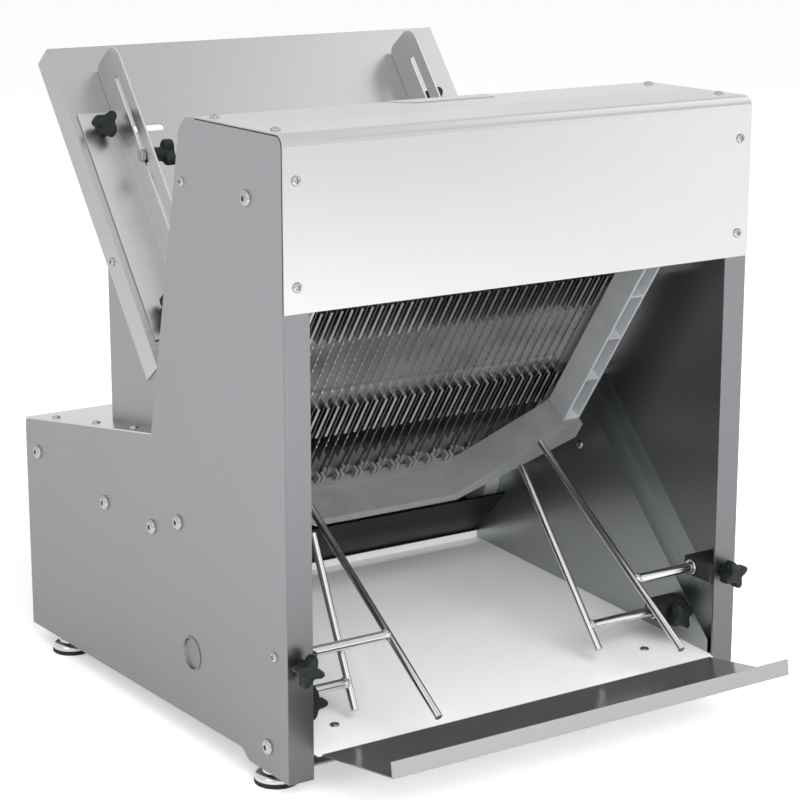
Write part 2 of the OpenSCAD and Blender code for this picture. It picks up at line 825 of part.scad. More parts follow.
module chute_tray() {
    color(polished) in_machine() {
        difference() {
            translate([0, crease_y, crease_z]) rotate([tray_slope, 0, 0])
                box([-wall_x, 0, -skin], [wall_x, tray_len - skin / 2, 0]);
            both_sides() box([wall_x - sheet, crease_y - over, 0], [wall_x + over, sheet + seat_gap, lip_z]);
        }
        box([-wall_x, tray_back - skin, tray_back_z - skin], [wall_x, tray_back, tray_back_z + tray_flange]);
        translate([0, crease_y, crease_z]) rotate([-lip_slope, 0, 0]) {
            box([-lip_x, -lip_len, -skin], [lip_x, skin, 0]);
            box([-lip_x, -lip_len, -skin], [lip_x, skin - lip_len, lip_edge]);
        }
        box([boss_d - wall_x, foot_front, base_top],
            [wall_x - boss_d, foot_front + skin, tray_z(foot_front) - skin / 2]);
    }
}

module drive_cover() {
    color(dark_steel) in_machine() {
        box([-wall_x, tray_back, base_top], [wall_x, tray_back + sheet, shield_z]);
        translate([0, tray_back + sheet, shield_z]) rotate([-shield_slope, 0, 0])
            box([-wall_x, -shield_l, -sheet], [wall_x, 0, 0]);
    }
}

module hopper_plate() {
    color(polished) on_hopper() {
        difference() {
            box([-wall_x, 0, -skin], [wall_x, hop_l, 0]);
            both_sides() for (s = [slot_lower, slot_upper]) {
                translate([0, s, -skin - over]) linear_extrude(skin + 2 * over)
                    slot_outline(slot_in, slot_out, slot_w);
            }
        }
        both_sides() box([wall_x - skin, 0, -hop_flange], [wall_x, hop_l, 0]);
        box([-wall_x, hop_l - skin, -hop_top], [wall_x, hop_l, 0]);
        rotate([shelf_slope - hop_slope, 0, 0]) box([-shelf_x, -shelf_l, -skin], [shelf_x, skin, 0]);
    }
}

module hopper_gussets() {
    gusset_x = wall_x - skin;
    drop = skin / cos(hop_slope);
    color(steel) both_sides() {
        in_machine() across(gusset_x - sheet, gusset_x) polygon([
            [gusset_front, cover_z(gusset_front)], [gusset_front, plate_z(gusset_front) - drop],
            [gusset_back, plate_z(gusset_back) - drop], [gusset_back, cover_z(gusset_back)]]);
        on_cover() box(
            [gusset_x - gusset_foot, (gusset_front - notch_y) / cos(box_slope) + sheet, skin],
            [gusset_x, (gusset_back - notch_y) / cos(box_slope) - sheet, skin + sheet]);
    }
}

// Comb of fixed fingers between the blades
module comb(low) {
    for (k = [-comb_half : comb_half - 1]) {
        translate([blade_pitch * (k + 0.5) - finger_t / 2, 0, 0])
            box([0, -finger_front, low], [finger_t, finger_back, low + comb_h]);
    }
    rod_x = comb_plate_x + comb_plate / 2;
    bar_x(-rod_x, rod_x, comb_rod_n, low + comb_h / 2, comb_rod_d);
    both_sides() {
        box([comb_plate_x, -finger_front, low], [comb_plate_x + comb_plate, finger_back, low + comb_h]);
        box([comb_plate_x, -comb_arm_n / 2, low + comb_arm_at],
            [inner_w, comb_arm_n / 2, low + comb_arm_at + comb_arm]);
    }
}

module upper_comb() {
    color(dark_steel) in_blade_plane() comb(comb_high);
}

module lower_comb() {
    color(dark_steel) in_blade_plane() comb(comb_low);
}

module slide_rails() {
    near = tongue_n - rail_n / 2;
    groove = tongue_t / 2 + slide_gap;
    color(black) in_blade_plane() both_sides() for (m = [0, 1]) {
        mirror([0, m, 0]) difference() {
            box([rail_x, near, rail_low], [wall_x, near + rail_n, rail_low + rail_l]);
            box([rail_x - over, tongue_n - groove, rail_low - over],
                [side_out + tongue_out + slide_gap, tongue_n + groove, rail_low + rail_l + over]);
        }
    }
}

module rail_brackets() {
    near = tongue_n - rail_n / 2;
    color(steel) in_blade_plane() both_sides() for (m = [0, 1]) {
        mirror([0, m, 0]) box([wall_x, near, bracket_low], [inner_w, near + rail_n, bracket_low + bracket_h]);
    }
}

module crank_bearings() {
    color(casting) in_machine() both_sides() difference() {
        union() {
            bar_x(wall_x - bearing_t, wall_x, crank_y, crank_z, bearing_d);
            box([wall_x - bearing_t / 2, crank_y - bearing_lug / 2, crank_z - bearing_d / 2 - bearing_lug],
                [wall_x, crank_y + bearing_lug / 2, crank_z + bearing_d / 2 + bearing_lug]);
        }
        bar_x(wall_x - bearing_t - over, wall_x + over, crank_y, crank_z, shaft_d + 2 * run_gap);
    }
}

module motor() {
    motor_end = motor_in + motor_l;
    color(casting) in_machine() difference() {
        union() {
            bar_x(motor_in, motor_end, motor_y, motor_z, motor_d);
            bar_x(motor_end - over, wall_x, motor_y, motor_z, motor_flange_d);
            box([motor_in + (motor_l - motor_foot_l) / 2, motor_y - motor_foot / 2, base_top],
                [motor_in + (motor_l + motor_foot_l) / 2, motor_y + motor_foot / 2, motor_z]);
        }
        bar_x(motor_end - motor_shaft_d, wall_x + over, motor_y, motor_z, motor_shaft_d + 2 * run_gap);
    }
}

// Points of a belt loop with the given radii, the driven pulley at the origin
function belt_loop(r1, r2) = concat(
    [for (i = [0 : belt_steps])
        let (a = belt_wrap + i * (360 - 2 * belt_wrap) / belt_steps) r1 * [cos(a), sin(a)]],
    [for (i = [0 : belt_steps])
        let (a = (2 * i / belt_steps - 1) * belt_wrap) [belt_span, 0] + r2 * [cos(a), sin(a)]]);

module drive_belt() {
    color(black) in_machine() translate([0, crank_y, crank_z]) rotate([belt_turn, 0, 0])
        across(belt_x, belt_x + belt_w) difference() {
            polygon(belt_loop(driven_r + belt_gap + belt_t, driver_r + belt_gap + belt_t));
            polygon(belt_loop(driven_r + belt_gap, driver_r + belt_gap));
        }
}

module clamp_blocks() {
    color(dark_steel) in_machine() both_sides() {
        difference() {
            box([upper_block_x, sheet, upper_rod_z - block_h / 2],
                [inner_w, sheet + upper_block_d, upper_rod_z + block_h / 2]);
            bar_x(upper_block_x - over, inner_w + over, upper_rod_y, upper_rod_z, cross_d + 2 * run_gap);
            bar_y(sheet - over, upper_rod_y, upper_knob_x, upper_rod_z, clamp_stem_d + 2 * run_gap);
        }
        difference() {
            box([lower_block_x, lower_rod_y - lower_block_d / 2, lower_rod_z - block_h / 2],
                [wall_x, lower_rod_y + lower_block_d / 2, lower_rod_z + block_h / 2]);
            bar_x(lower_block_x - over, wall_x + over, lower_rod_y, lower_rod_z, cross_d + 2 * run_gap);
            bar_y(lower_rod_y - lower_block_d, lower_rod_y, lower_knob_x, lower_rod_z,
                clamp_stem_d + 2 * run_gap);
        }
    }
}

module screw_head(d, h) {
    cylinder(h = h / 2, d = d);
    translate([0, 0, h / 2]) cylinder(h = h / 2, d1 = d, d2 = d / 2);
}

module housing_screws() {
    color(steel) {
        in_machine() both_sides() {
            for (p = big_tower_shares) {
                translate([half_w, p[0] * tower_top_d, p[1] * tower_h]) rotate([0, 90, 0])
                    screw_head(big_head_d, big_head_h);
            }
            for (p = big_box_shares) {
                translate([half_w, p[0] * body_d, p[1] * box_rear_h]) rotate([0, 90, 0])
                    screw_head(big_head_d, big_head_h);
            }
            for (p = small_tower_shares) {
                translate([half_w, p[0] * tower_top_d, p[1] * tower_h]) rotate([0, 90, 0])
                    screw_head(small_head_d, small_head_h);
            }
            for (p = hood_front_shares) {
                translate([half_w - edge_in, -skin, p * tower_h]) rotate([90, 0, 0])
                    screw_head(small_head_d, small_head_h);
            }
            for (p = hood_top_shares) {
                translate([half_w - edge_in, p * hood_d, tower_h + skin])
                    screw_head(small_head_d, small_head_h);
            }
        }
        on_cover() both_sides() for (p = cover_shares) {
            translate([half_w - edge_in, p * box_len, skin]) screw_head(small_head_d, small_head_h);
        }
    }
}

module hole_plug() {
    color(dark_steel) in_machine() {
        bar_x(-half_w - plug_h, -half_w, plug_y, plug_z, plug_d + 2 * plug_rim);
        bar_x(-half_w, -inner_w + plug_h, plug_y, plug_z, plug_d - 2 * seat_gap);
    }
}

module switch_plate() {
    face = half_w + switch_t;
    color(black) in_machine() difference() {
        union() {
            box([half_w, switch_y - switch_w / 2, switch_z - switch_h / 2],
                [face, switch_y + switch_w / 2, switch_z + switch_h / 2]);
            for (s = [-1, 1]) {
                bar_x(inner_w - contact_l, face, switch_y, switch_z + s * button_z, contact_d - 2 * seat_gap);
                bar_x(face - switch_t / 2, face + collar_h, switch_y, switch_z + s * button_z, collar_d);
            }
        }
        for (s = [-1, 1]) {
            bar_x(half_w - button_in - button_travel - seat_gap, face + collar_h + over, switch_y,
                switch_z + s * button_z, button_d + 2 * button_gap);
        }
    }
}

module cable_gland() {
    color(black) in_machine() difference() {
        union() {
            bar_y(body_d - sheet, body_d + gland_out / 2, gland_x, gland_z, gland_d);
            bar_y(body_d, body_d + gland_out, gland_x, gland_z, gland_d - 2 * skin);
            bar_y(rear_in - gland_out / 2, body_d, gland_x, gland_z, gland_bore + 2 * skin - 2 * seat_gap);
        }
        bar_y(rear_in - gland_out, body_d + gland_out + over, gland_x, gland_z, gland_bore);
    }
}

// Cast side members behind the blade plane, with pockets open to the back and a slide tongue each
module frame_sides(low) {
    cell = (top_low - low - cast_wall) / pockets;
    both_sides() {
        difference() {
            box([side_x, cast_near, low], [side_out, cast_far, top_low]);
            for (i = [0 : pockets - 1]) {
                box([side_x + cast_wall, cast_far - pocket_deep, low + cast_wall + i * cell],
                    [side_out - cast_wall, cast_far + over, low + (i + 1) * cell]);
            }
        }
        box([side_out - cast_wall / 2, tongue_n - tongue_t / 2, tongue_low],
            [side_out + tongue_out, tongue_n + tongue_t / 2, tongue_low + tongue_l]);
    }
}

// Row of blade hooks from the bar outwards, with the slots that the blade ends sit in
module hooks(places, bar, tip, root) {
    out = sign(tip - bar);
    reach = (places[len(places) - 1] - places[0] + 2 * hook_w) / 2;
    difference() {
        union() {
            box([-reach, hook_bar_near, min(bar - out * root, bar + out * hook_bar)],
                [reach, cast_near, max(bar - out * root, bar + out * hook_bar)]);
            box([-reach, hook_bar_near, min(bar - out * root, bar)],
                [reach, cast_near + cast_wall, max(bar - out * root, bar)]);
            for (x = places) {
                box([x - hook_w / 2, hook_near, min(bar, tip)], [x + hook_w / 2, cast_near, max(bar, tip)]);
            }
        }
        for (x = places) {
            box([x - hook_slot / 2, hook_near - over, min(tip - out * tang_in, tip + out * over)],
                [x + hook_slot / 2, cast_near + over, max(tip - out * tang_in, tip + out * over)]);
        }
    }
}

front_places = [for (i = [-front_half : front_half]) 2 * blade_pitch * i];
rear_places = [for (i = [-front_half : front_half - 1]) blade_pitch * (2 * i + 1)];
low_tip = boat_z + hook_h;
high_tip = top_low + hook_bar - hook_h;

module upper_beam(places) {
    box([-side_out, cast_near, top_low], [side_out, cast_far, top_low + top_h]);
    hooks(places, top_low + hook_bar, high_tip, top_h - hook_bar);
}

// Serrated blade with a narrow tongue at each end
module blade_outline() {
    w = blade_w / 2;
    polygon([
        [-w, blade_low],
        [w - tooth_h, blade_low],
        each [for (i = [0 : teeth - 1]) each [
            [w, blade_low + (i + 0.5) * tooth_pitch],
            [w - tooth_h, blade_low + (i + 1) * tooth_pitch]]],
        [-w, blade_high]]);
}

// Blades at the given places, their end tongues on the side of the frame that carries them
module blades(places, side) {
    w = blade_w / 2;
    for (x = places) {
        across(x - blade_t / 2, x + blade_t / 2) {
            blade_outline();
            mirror([side > 0 ? 0 : 1, 0]) {
                translate([tang_gap, low_tip - tang_in])
                    square([w - tooth_h - tang_gap, blade_low - low_tip + tang_in]);
                translate([tang_gap, blade_high])
                    square([w - tooth_h - tang_gap, high_tip + tang_in - blade_high]);
            }
        }
    }
}

// Fork cheeks beside a connecting rod's small end, with the wrist pin's two stubs
module fork(x) {
    inner = rod_t / 2 + fork_gap;
    for (s = [0, 1]) {
        translate([x, 0, 0]) mirror([s, 0, 0]) {
            across(inner, inner + fork_t) {
                children();
                translate([wrist_n, wrist_u]) circle(d = small_end_d);
            }
            bar_x(rod_t / 2 + stub_gap, inner + fork_t + fork_gap, wrist_n, wrist_u, wrist_d);
        }
    }
}

module front_frame_sides() {
    color(casting) in_blade_plane() mirror([0, 1, 0]) frame_sides(side_low);
}

module front_upper_beam() {
    color(casting) in_blade_plane() mirror([0, 1, 0]) upper_beam(front_places);
}

module front_lower_beam() {
    half_boat = [[boat_x, boat_z], [side_x, side_low], [side_out, side_low], [side_out, side_low - boat_end],
        [boat_x + boat_t / 2, boat_z - boat_t]];
    count = len(half_boat);
    color(casting) in_blade_plane() {
        through(-boat_far, -cast_near) polygon(concat(
            half_boat, [for (i = [0 : count - 1]) let (p = half_boat[count - 1 - i]) [-p[0], p[1]]]));
        mirror([0, 1, 0]) hooks(front_places, boat_z, low_tip, boat_t);
        fork(-throw_x) polygon([
            [-cast_far, boat_z - boat_t / 2], [-cast_near, boat_z - boat_t / 2],
            [-hook_bar_near, wrist_u + small_end_d / 2], [wrist_n, wrist_u + small_end_d / 2],
            [wrist_n, wrist_u - small_end_d / 2], [0, wrist_u - small_end_d / 2]]);
    }
}

module front_blades() {
    color(polished) in_blade_plane() blades(front_places, -1);
}

module rear_frame_sides() {
    color(casting) in_blade_plane() frame_sides(boat_z);
}

module rear_upper_beam() {
    color(casting) in_blade_plane() upper_beam(rear_places);
}

module rear_lower_beam() {
    color(casting) in_blade_plane() {
        box([-side_out, cast_near, boat_z - rear_beam_h], [side_out, cast_far, boat_z]);
        hooks(rear_places, boat_z, low_tip, rear_beam_h);
        fork(throw_x) polygon([
            [cast_near, boat_z - rear_beam_h / 2], [cast_far, boat_z - rear_beam_h / 2],
            [wrist_n + small_end_d / 2, wrist_u], [wrist_n - small_end_d / 2, wrist_u]]);
    }
}

module rear_blades() {
    color(polished) in_blade_plane() blades(rear_places, 1);
}

module crankshaft() {
    inner = throw_x - pin_l / 2 - web_t;
    outer = throw_x + pin_l / 2 + web_t;
    color(dark_steel) in_machine() {
        bar_x(-wall_x, -outer + over, crank_y, crank_z, shaft_d);
        bar_x(-inner - over, inner + over, crank_y, crank_z, shaft_d);
        bar_x(outer - over, pulley_x + pulley_w, crank_y, crank_z, shaft_d);
        for (s = [-1, 1]) {
            for (x = [-pin_l / 2 - web_t, pin_l / 2]) {
                bar_x(s * throw_x + x, s * throw_x + x + web_t, crank_y, crank_z, web_d);
            }
            bar_x(s * throw_x - pin_l / 2 - over, s * throw_x + pin_l / 2 + over,
                crank_y - s * swing_y, crank_z - s * swing_z, pin_d);
        }
    }
}

// Belt pulley along X with a rim at each side
module pulley(y, z, seat, bore) {
    difference() {
        union() {
            bar_x(pulley_x, pulley_x + pulley_w, y, z, 2 * seat);
            bar_x(pulley_x, pulley_x + rim_t, y, z, 2 * (seat + rim_h));
            bar_x(pulley_x + pulley_w - rim_t, pulley_x + pulley_w, y, z, 2 * (seat + rim_h));
        }
        bar_x(pulley_x - over, pulley_x + pulley_w + over, y, z, bore);
    }
}

module driven_pulley() {
    spoke = (driven_r + shaft_d / 2) / 2;
    color(casting) in_machine() difference() {
        pulley(crank_y, crank_z, driven_r, shaft_d);
        for (i = [0 : 4]) {
            bar_x(pulley_x - over, pulley_x + pulley_w + over, crank_y + spoke * cos(i * 72),
                crank_z + spoke * sin(i * 72), spoke / 2);
        }
    }
}

// Connecting rod from a crank pin to the wrist
module conrod(x, py, pz) {
    span = norm([wrist_y - py, wrist_z - pz]);
    turn = atan2(wrist_z - pz, wrist_y - py);
    in_machine() across(x - rod_t / 2, x + rod_t / 2) translate([py, pz]) rotate(turn) difference() {
        union() {
            circle(d = big_end_d);
            translate([span, 0]) circle(d = small_end_d);
            translate([0, -shank_w / 2]) square([span, shank_w]);
        }
        circle(d = pin_d + 2 * run_gap);
        translate([span, 0]) circle(d = wrist_d + 2 * run_gap);
    }
}

module front_conrod() {
    color(casting) conrod(-throw_x, crank_y + swing_y, crank_z + swing_z);
}

module rear_conrod() {
    color(casting) conrod(throw_x, crank_y - swing_y, crank_z - swing_z);
}

module motor_pulley() {
    motor_end = motor_in + motor_l;
    color(casting) in_machine() {
        pulley(motor_y, motor_z, driver_r, motor_shaft_d);
        bar_x(motor_end - motor_shaft_d / 2, pulley_x + pulley_w, motor_y, motor_z, motor_shaft_d);
    }
}

// Guide rod on the right: a cross rod with a sloped long rod welded to its end
module guide_rod(weld, outer, y, z, slope, fore, back) {
    in_machine() {
        bar_x(weld, outer, y, z, cross_d);
        translate([weld, y, z]) rotate([slope, 0, 0]) bar_y(-fore, back, 0, 0, long_d);
    }
}

module guide_rod_upper_right() {
    color(polished)
        guide_rod(rod_ur, inner_w - rod_end_gap, upper_rod_y, upper_rod_z, slope_ur, fore_ur, back_ur);
}

module guide_rod_upper_left() {
    color(polished) left_side()
        guide_rod(rod_ul, inner_w - rod_end_gap, upper_rod_y, upper_rod_z, slope_ul, fore_ul, back_ul);
}

module guide_rod_lower_right() {
    color(polished) guide_rod(rod_lr, lower_rod_out, lower_rod_y, lower_rod_z, slope_lr, fore_low, back_lr);
}

module guide_rod_lower_left() {
    color(polished) left_side()
        guide_rod(rod_ll, lower_rod_out, lower_rod_y, lower_rod_z, slope_ll, fore_low, back_ll);
}

// Star knob on its seat at z = 0, with a hub under the lobed head
module knob(d, lobes, hub) {
    arm = d / 2 - lobe_d / 2;
    cylinder(h = hub, d = knob_hub_d);
    translate([0, 0, hub]) linear_extrude(knob_h) {
        circle(d = knob_hub_d + lobe_d / 2);
        for (i = [0 : lobes - 1]) {
            rotate(i * 360 / lobes) {
                translate([arm, 0]) circle(d = lobe_d);
                translate([0, -lobe_d / 2]) square([arm, lobe_d]);
            }
        }
    }
}

// Chute clamp knob on the right, in front of its block
module clamp_knob(x, seat, z, tip) {
    in_machine() {
        translate([x, seat - seat_gap, z]) rotate([90, 0, 0]) knob(clamp_knob_d, 4, knob_hub_h);
        bar_y(seat - knob_hub_h, tip, x, z, clamp_stem_d);
    }
}

module upper_clamp_knob() {
    clamp_knob(upper_knob_x, 0, upper_rod_z, upper_rod_y - cross_d / 2 - seat_gap);
}

module lower_clamp_knob() {
    clamp_knob(lower_knob_x, lower_rod_y - lower_block_d / 2, lower_rod_z,
        lower_rod_y - cross_d / 2 - seat_gap);
}

module clamp_knob_upper_right() {
    color(black) upper_clamp_knob();
}

module clamp_knob_upper_left() {
    color(black) left_side() upper_clamp_knob();
}

module clamp_knob_lower_right() {
    color(black) lower_clamp_knob();
}

module clamp_knob_lower_left() {
    color(black) left_side() lower_clamp_knob();
}

// Bread fence on the right half of the hopper, its face at the given distance from the middle
module fence(face) {
    difference() {
        union() {
            box([face, base_s0, seat_gap], [face + fence_base, base_s1, seat_gap + fence_t]);
            across(face, face + fence_t) polygon(rounded(
                [[fence_s0, seat_gap], [fence_s1, seat_gap], [fence_s1, seat_gap + fence_h],
                    [fence_s0, seat_gap + fence_h]],
                [0, fence_r / 2, fence_r, fence_r]));
        }
        translate([0, 0, wall_slot_z]) across(face - over, face + fence_t + over)
            slot_outline(wall_slot_s0, wall_slot_s1, slot_w);
        for (s = [slot_lower, slot_upper]) {
            bar_z(0, seat_gap + fence_t + over, face + base_knob_in, s, stem_d + 2 * run_gap);
        }
    }
}

// Fence knob with its stem through the base and the hopper slot
module base_knob(face, s) {
    x = face + base_knob_in;
    seat = 2 * seat_gap + fence_t;
    translate([x, s, seat]) knob(fence_knob_d, 3, knob_hub_h);
    bar_z(-skin - seat_gap - nut_t, seat + knob_hub_h, x, s, stem_d);
    bar_z(-skin - seat_gap - nut_t, -skin - seat_gap, x, s, nut_d);
}

// Fence knob with its stem through the slot in the wall
module wall_knob(face) {
    nut = face + fence_t + seat_gap;
    translate([face - seat_gap, wall_knob_s, wall_slot_z]) rotate([0, -90, 0])
        knob(fence_knob_d, 3, wall_knob_hub);
    bar_x(face - wall_knob_hub, nut + nut_t, wall_knob_s, wall_slot_z, stem_d);
    bar_x(nut, nut + nut_t, wall_knob_s, wall_slot_z, nut_d);
}

module right_fence() {
    color(steel) on_hopper() fence(fence_right);
}

module left_fence() {
    color(steel) on_hopper() left_side() fence(fence_left);
}

module right_fence_knob_upper() {
    color(black) on_hopper() base_knob(fence_right, slot_upper);
}

module right_fence_knob_lower() {
    color(black) on_hopper() base_knob(fence_right, slot_lower);
}

module right_fence_knob_wall() {
    color(black) on_hopper() wall_knob(fence_right);
}

module left_fence_knob_upper() {
    color(black) on_hopper() left_side() base_knob(fence_left, slot_upper);
}

module left_fence_knob_lower() {
    color(black) on_hopper() left_side() base_knob(fence_left, slot_lower);
}

module left_fence_knob_wall() {
    color(black) on_hopper() left_side() wall_knob(fence_left);
}

// Levelling foot with a rubber pad, a steel hub and a threaded stem
module foot(x, y) {
    color(black) in_machine() {
        translate([x, y, -foot_h]) cylinder(h = foot_pad, d1 = foot_d, d2 = foot_d - foot_pad / 2);
        bar_z(foot_pad - foot_h, -foot_gap, x, y, foot_hub_d);
        bar_z(-foot_gap - over, base_top + boss_h, x, y, foot_stem_d);
    }
}

module foot_front_left() {
    foot(-foot_x, foot_front);
}

module foot_front_right() {
    foot(foot_x, foot_front);
}

module foot_rear_left() {
    foot(-foot_x, foot_rear);
}

module foot_rear_right() {
    foot(foot_x, foot_rear);
}

// Push button in the switch plate
module button(s, out) {
    in_machine() bar_x(half_w - button_in, half_w + switch_t + collar_h + out, switch_y,
        switch_z + s * button_z, button_d);
}

module start_button() {
    color([0.1, 0.5, 0.2]) button(1, start_out);
}

module stop_button() {
    color([0.7, 0.1, 0.1]) button(-1, stop_out);
}

left_panel();
right_panel();
base_plate();
rear_panel();
rear_cover();
front_hood();
inner_wall_left();
inner_wall_right();
chute_tray();
drive_cover();
hopper_plate();
hopper_gussets();
upper_comb();
lower_comb();
slide_rails();
rail_brackets();
crank_bearings();
motor();
drive_belt();
clamp_blocks();
housing_screws();
hole_plug();
switch_plate();
cable_gland();
front_frame_sides();
front_upper_beam();
front_lower_beam();
front_blades();
rear_frame_sides();
rear_upper_beam();
rear_lower_beam();
rear_blades();
crankshaft();
driven_pulley();
front_conrod();
rear_conrod();
motor_pulley();
guide_rod_upper_right();
guide_rod_upper_left();
guide_rod_lower_right();
guide_rod_lower_left();
clamp_knob_upper_right();
clamp_knob_upper_left();
clamp_knob_lower_right();
clamp_knob_lower_left();
left_fence();
right_fence();
left_fence_knob_upper();
left_fence_knob_lower();
left_fence_knob_wall();
right_fence_knob_upper();
right_fence_knob_lower();
right_fence_knob_wall();
foot_front_left();
foot_front_right();
foot_rear_left();
foot_rear_right();
start_button();
stop_button();
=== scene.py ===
"""Looks of a bench bread slicer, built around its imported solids.

Lengths are in metres, in the frame of the solids: the chute faces -Y and +Z is up. The pieces' own
sizes are in millimetres, as their classes say.
"""

import logging
import math
from collections.abc import Callable, Iterable, Sequence
from dataclasses import dataclass, field
from enum import Enum

import bmesh
import bpy
from bmesh.types import BMesh, BMVert
from bpy.types import Node, NodeSocket
from mathutils import Matrix, Vector


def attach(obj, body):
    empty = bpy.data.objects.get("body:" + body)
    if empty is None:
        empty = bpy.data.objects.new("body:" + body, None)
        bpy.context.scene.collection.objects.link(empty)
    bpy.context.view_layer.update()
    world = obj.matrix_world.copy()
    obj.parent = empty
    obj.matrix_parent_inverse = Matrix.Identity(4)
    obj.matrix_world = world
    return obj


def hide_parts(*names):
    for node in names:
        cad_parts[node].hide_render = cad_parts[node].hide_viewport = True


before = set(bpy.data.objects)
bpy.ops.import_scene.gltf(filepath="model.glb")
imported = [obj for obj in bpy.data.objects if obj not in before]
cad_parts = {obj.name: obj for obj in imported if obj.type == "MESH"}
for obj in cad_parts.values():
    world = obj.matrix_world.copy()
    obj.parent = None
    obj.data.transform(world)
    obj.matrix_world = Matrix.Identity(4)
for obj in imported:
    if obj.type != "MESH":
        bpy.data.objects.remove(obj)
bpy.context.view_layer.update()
LOG = logging.getLogger("bread_slicer")

Colour = tuple[float, float, float]
Point = tuple[float, float, float]
Profile = Sequence[tuple[float, float]]
Sockets = dict[str, NodeSocket]

MM = 0.001
TINY = 1e-6
WHITE = (1.0, 1.0, 1.0, 1.0)

# Shares in the shared effects and the threads
BAND_SCALE = 0.3
LINE_SHARE = 0.65
MARK_START = 0.42
MARK_GAIN = 2.0
PIT_SHARE = 0.5
CLOUD_SCALE = 0.06
HAZE_SCALE = 0.05
GROOVE_SHARE = 0.54


class Grain(Enum):
    """Direction of the brushing on a sheet, as the stretch of its noise along X, Y and Z."""

    ALONG_X = (0.012, 1.0, 1.0)
    ALONG_Y = (1.0, 0.012, 1.0)
    ALONG_Z = (1.0, 1.0, 0.012)


class Effect(Enum):
    """Shared shader node groups, by name."""

    STREAKS = "brushed_streaks"
    SMUDGES = "handling_smudges"
    CAST_SKIN = "cast_skin"
    PEBBLE = "moulded_pebble"


@dataclass
class NodeSheet:
    """Small helper that adds and links nodes in one node tree."""

    tree: bpy.types.NodeTree

    def add(self, kind: str, inputs: dict | None = None, **fields: object) -> Node:
        """Adds a node, sets its fields and fills or links its inputs.

        Args:
            kind: Node type name after "ShaderNode", or a full type name.
            inputs: Input name or index to a value or to an output socket.
            **fields: Attributes to set on the node.

        Returns:
            The new node.
        """
        full = kind if kind.startswith("Node") else f"ShaderNode{kind}"
        node = self.tree.nodes.new(full)
        for key, value in fields.items():
            setattr(node, key, value)
        for key, value in (inputs or {}).items():
            socket = node.inputs[key]
            if isinstance(value, NodeSocket):
                self.tree.links.new(value, socket)
            else:
                socket.default_value = value
        return node

    def math(self, operation: str, *values: object) -> NodeSocket:
        """Adds a Math node on numbers or sockets, and gives its output."""
        return self.add("Math", dict(enumerate(values)), operation=operation).outputs[0]

    def ramp(self, factor: NodeSocket, stops: Sequence[tuple[float, Colour]]) -> NodeSocket:
        """Adds a colour ramp.

        Args:
            factor: Socket that drives the ramp.
            stops: Pairs of position and colour, in order.

        Returns:
            The ramp's colour socket.
        """
        node = self.add("ValToRGB", {"Fac": factor})
        elements = node.color_ramp.elements
        while len(elements) < len(stops):
            elements.new(0.5)
        for element, (position, colour) in zip(elements, stops):
            element.position = position
            element.color = (*colour, 1.0)
        return node.outputs["Color"]

    def span(self, value: NodeSocket, low: float, high: float) -> NodeSocket:
        """Maps 0 to 1 onto a range."""
        return self.step(value, (0.0, 1.0), (low, high))

    def step(self, value: NodeSocket, source: Sequence[float], result: Sequence[float]) -> NodeSocket:
        """Maps one range onto another, each given by its two ends."""
        names = ("Value", "From Min", "From Max", "To Min", "To Max")
        return self.add("MapRange", dict(zip(names, (value, *source, *result)))).outputs["Result"]

    def blend(self, kind: str, factor: object, first: object, second: object) -> NodeSocket:
        """Blends two colours or sockets by the share of the second, and gives the colour socket."""
        shares = {"Factor": factor, "A": first, "B": second}
        return self.add("Mix", shares, data_type="RGBA", blend_type=kind).outputs["Result"]


def clear_sheet(owner: bpy.types.Material | bpy.types.World) -> NodeSheet:
    """Empties the node tree of a material or a world."""
    owner.use_nodes = True
    owner.node_tree.nodes.clear()
    return NodeSheet(owner.node_tree)


def link_object(name: str, data: bpy.types.ID) -> bpy.types.Object:
    """Makes an object from its data and links it to the scene."""
    made = bpy.data.objects.new(name, data)
    bpy.context.scene.collection.objects.link(made)
    return made


def draw_streaks(sheet: NodeSheet, given: Sockets) -> Sockets:
    """Draws fine brushing lines over broad tone bands.

    Args:
        sheet: Sheet of the group.
        given: Inputs of the group.

    Returns:
        Outputs of the group.
    """
    at, scale = given["Vector"], given["Fineness"]
    fine = sheet.add("TexNoise", {"Vector": at, "Scale": scale, "Detail": 3.0, "Roughness": 0.7})
    broad = sheet.math("MULTIPLY", scale, BAND_SCALE)
    coarse = sheet.add("TexNoise", {"Vector": at, "Scale": broad, "Detail": 4.0, "Roughness": 0.55})
    both = sheet.math("ADD", sheet.math("MULTIPLY", fine.outputs["Fac"], LINE_SHARE),
                      sheet.math("MULTIPLY", coarse.outputs["Fac"], 1.0 - LINE_SHARE))
    return {"Height": both, "Tone": both}


def draw_smudges(sheet: NodeSheet, given: Sockets) -> Sockets:
    """Draws soft marks of hands and wiping.

    Args:
        sheet: Sheet of the group.
        given: Inputs of the group.

    Returns:
        Outputs of the group.
    """
    cloud = sheet.add("TexNoise", {**given, "Detail": 5.0, "Roughness": 0.6, "Distortion": 0.8})
    low = sheet.math("SUBTRACT", cloud.outputs["Fac"], MARK_START)
    mask = sheet.add("Clamp", {"Value": sheet.math("MULTIPLY", low, MARK_GAIN)})
    return {"Mask": mask.outputs[0]}


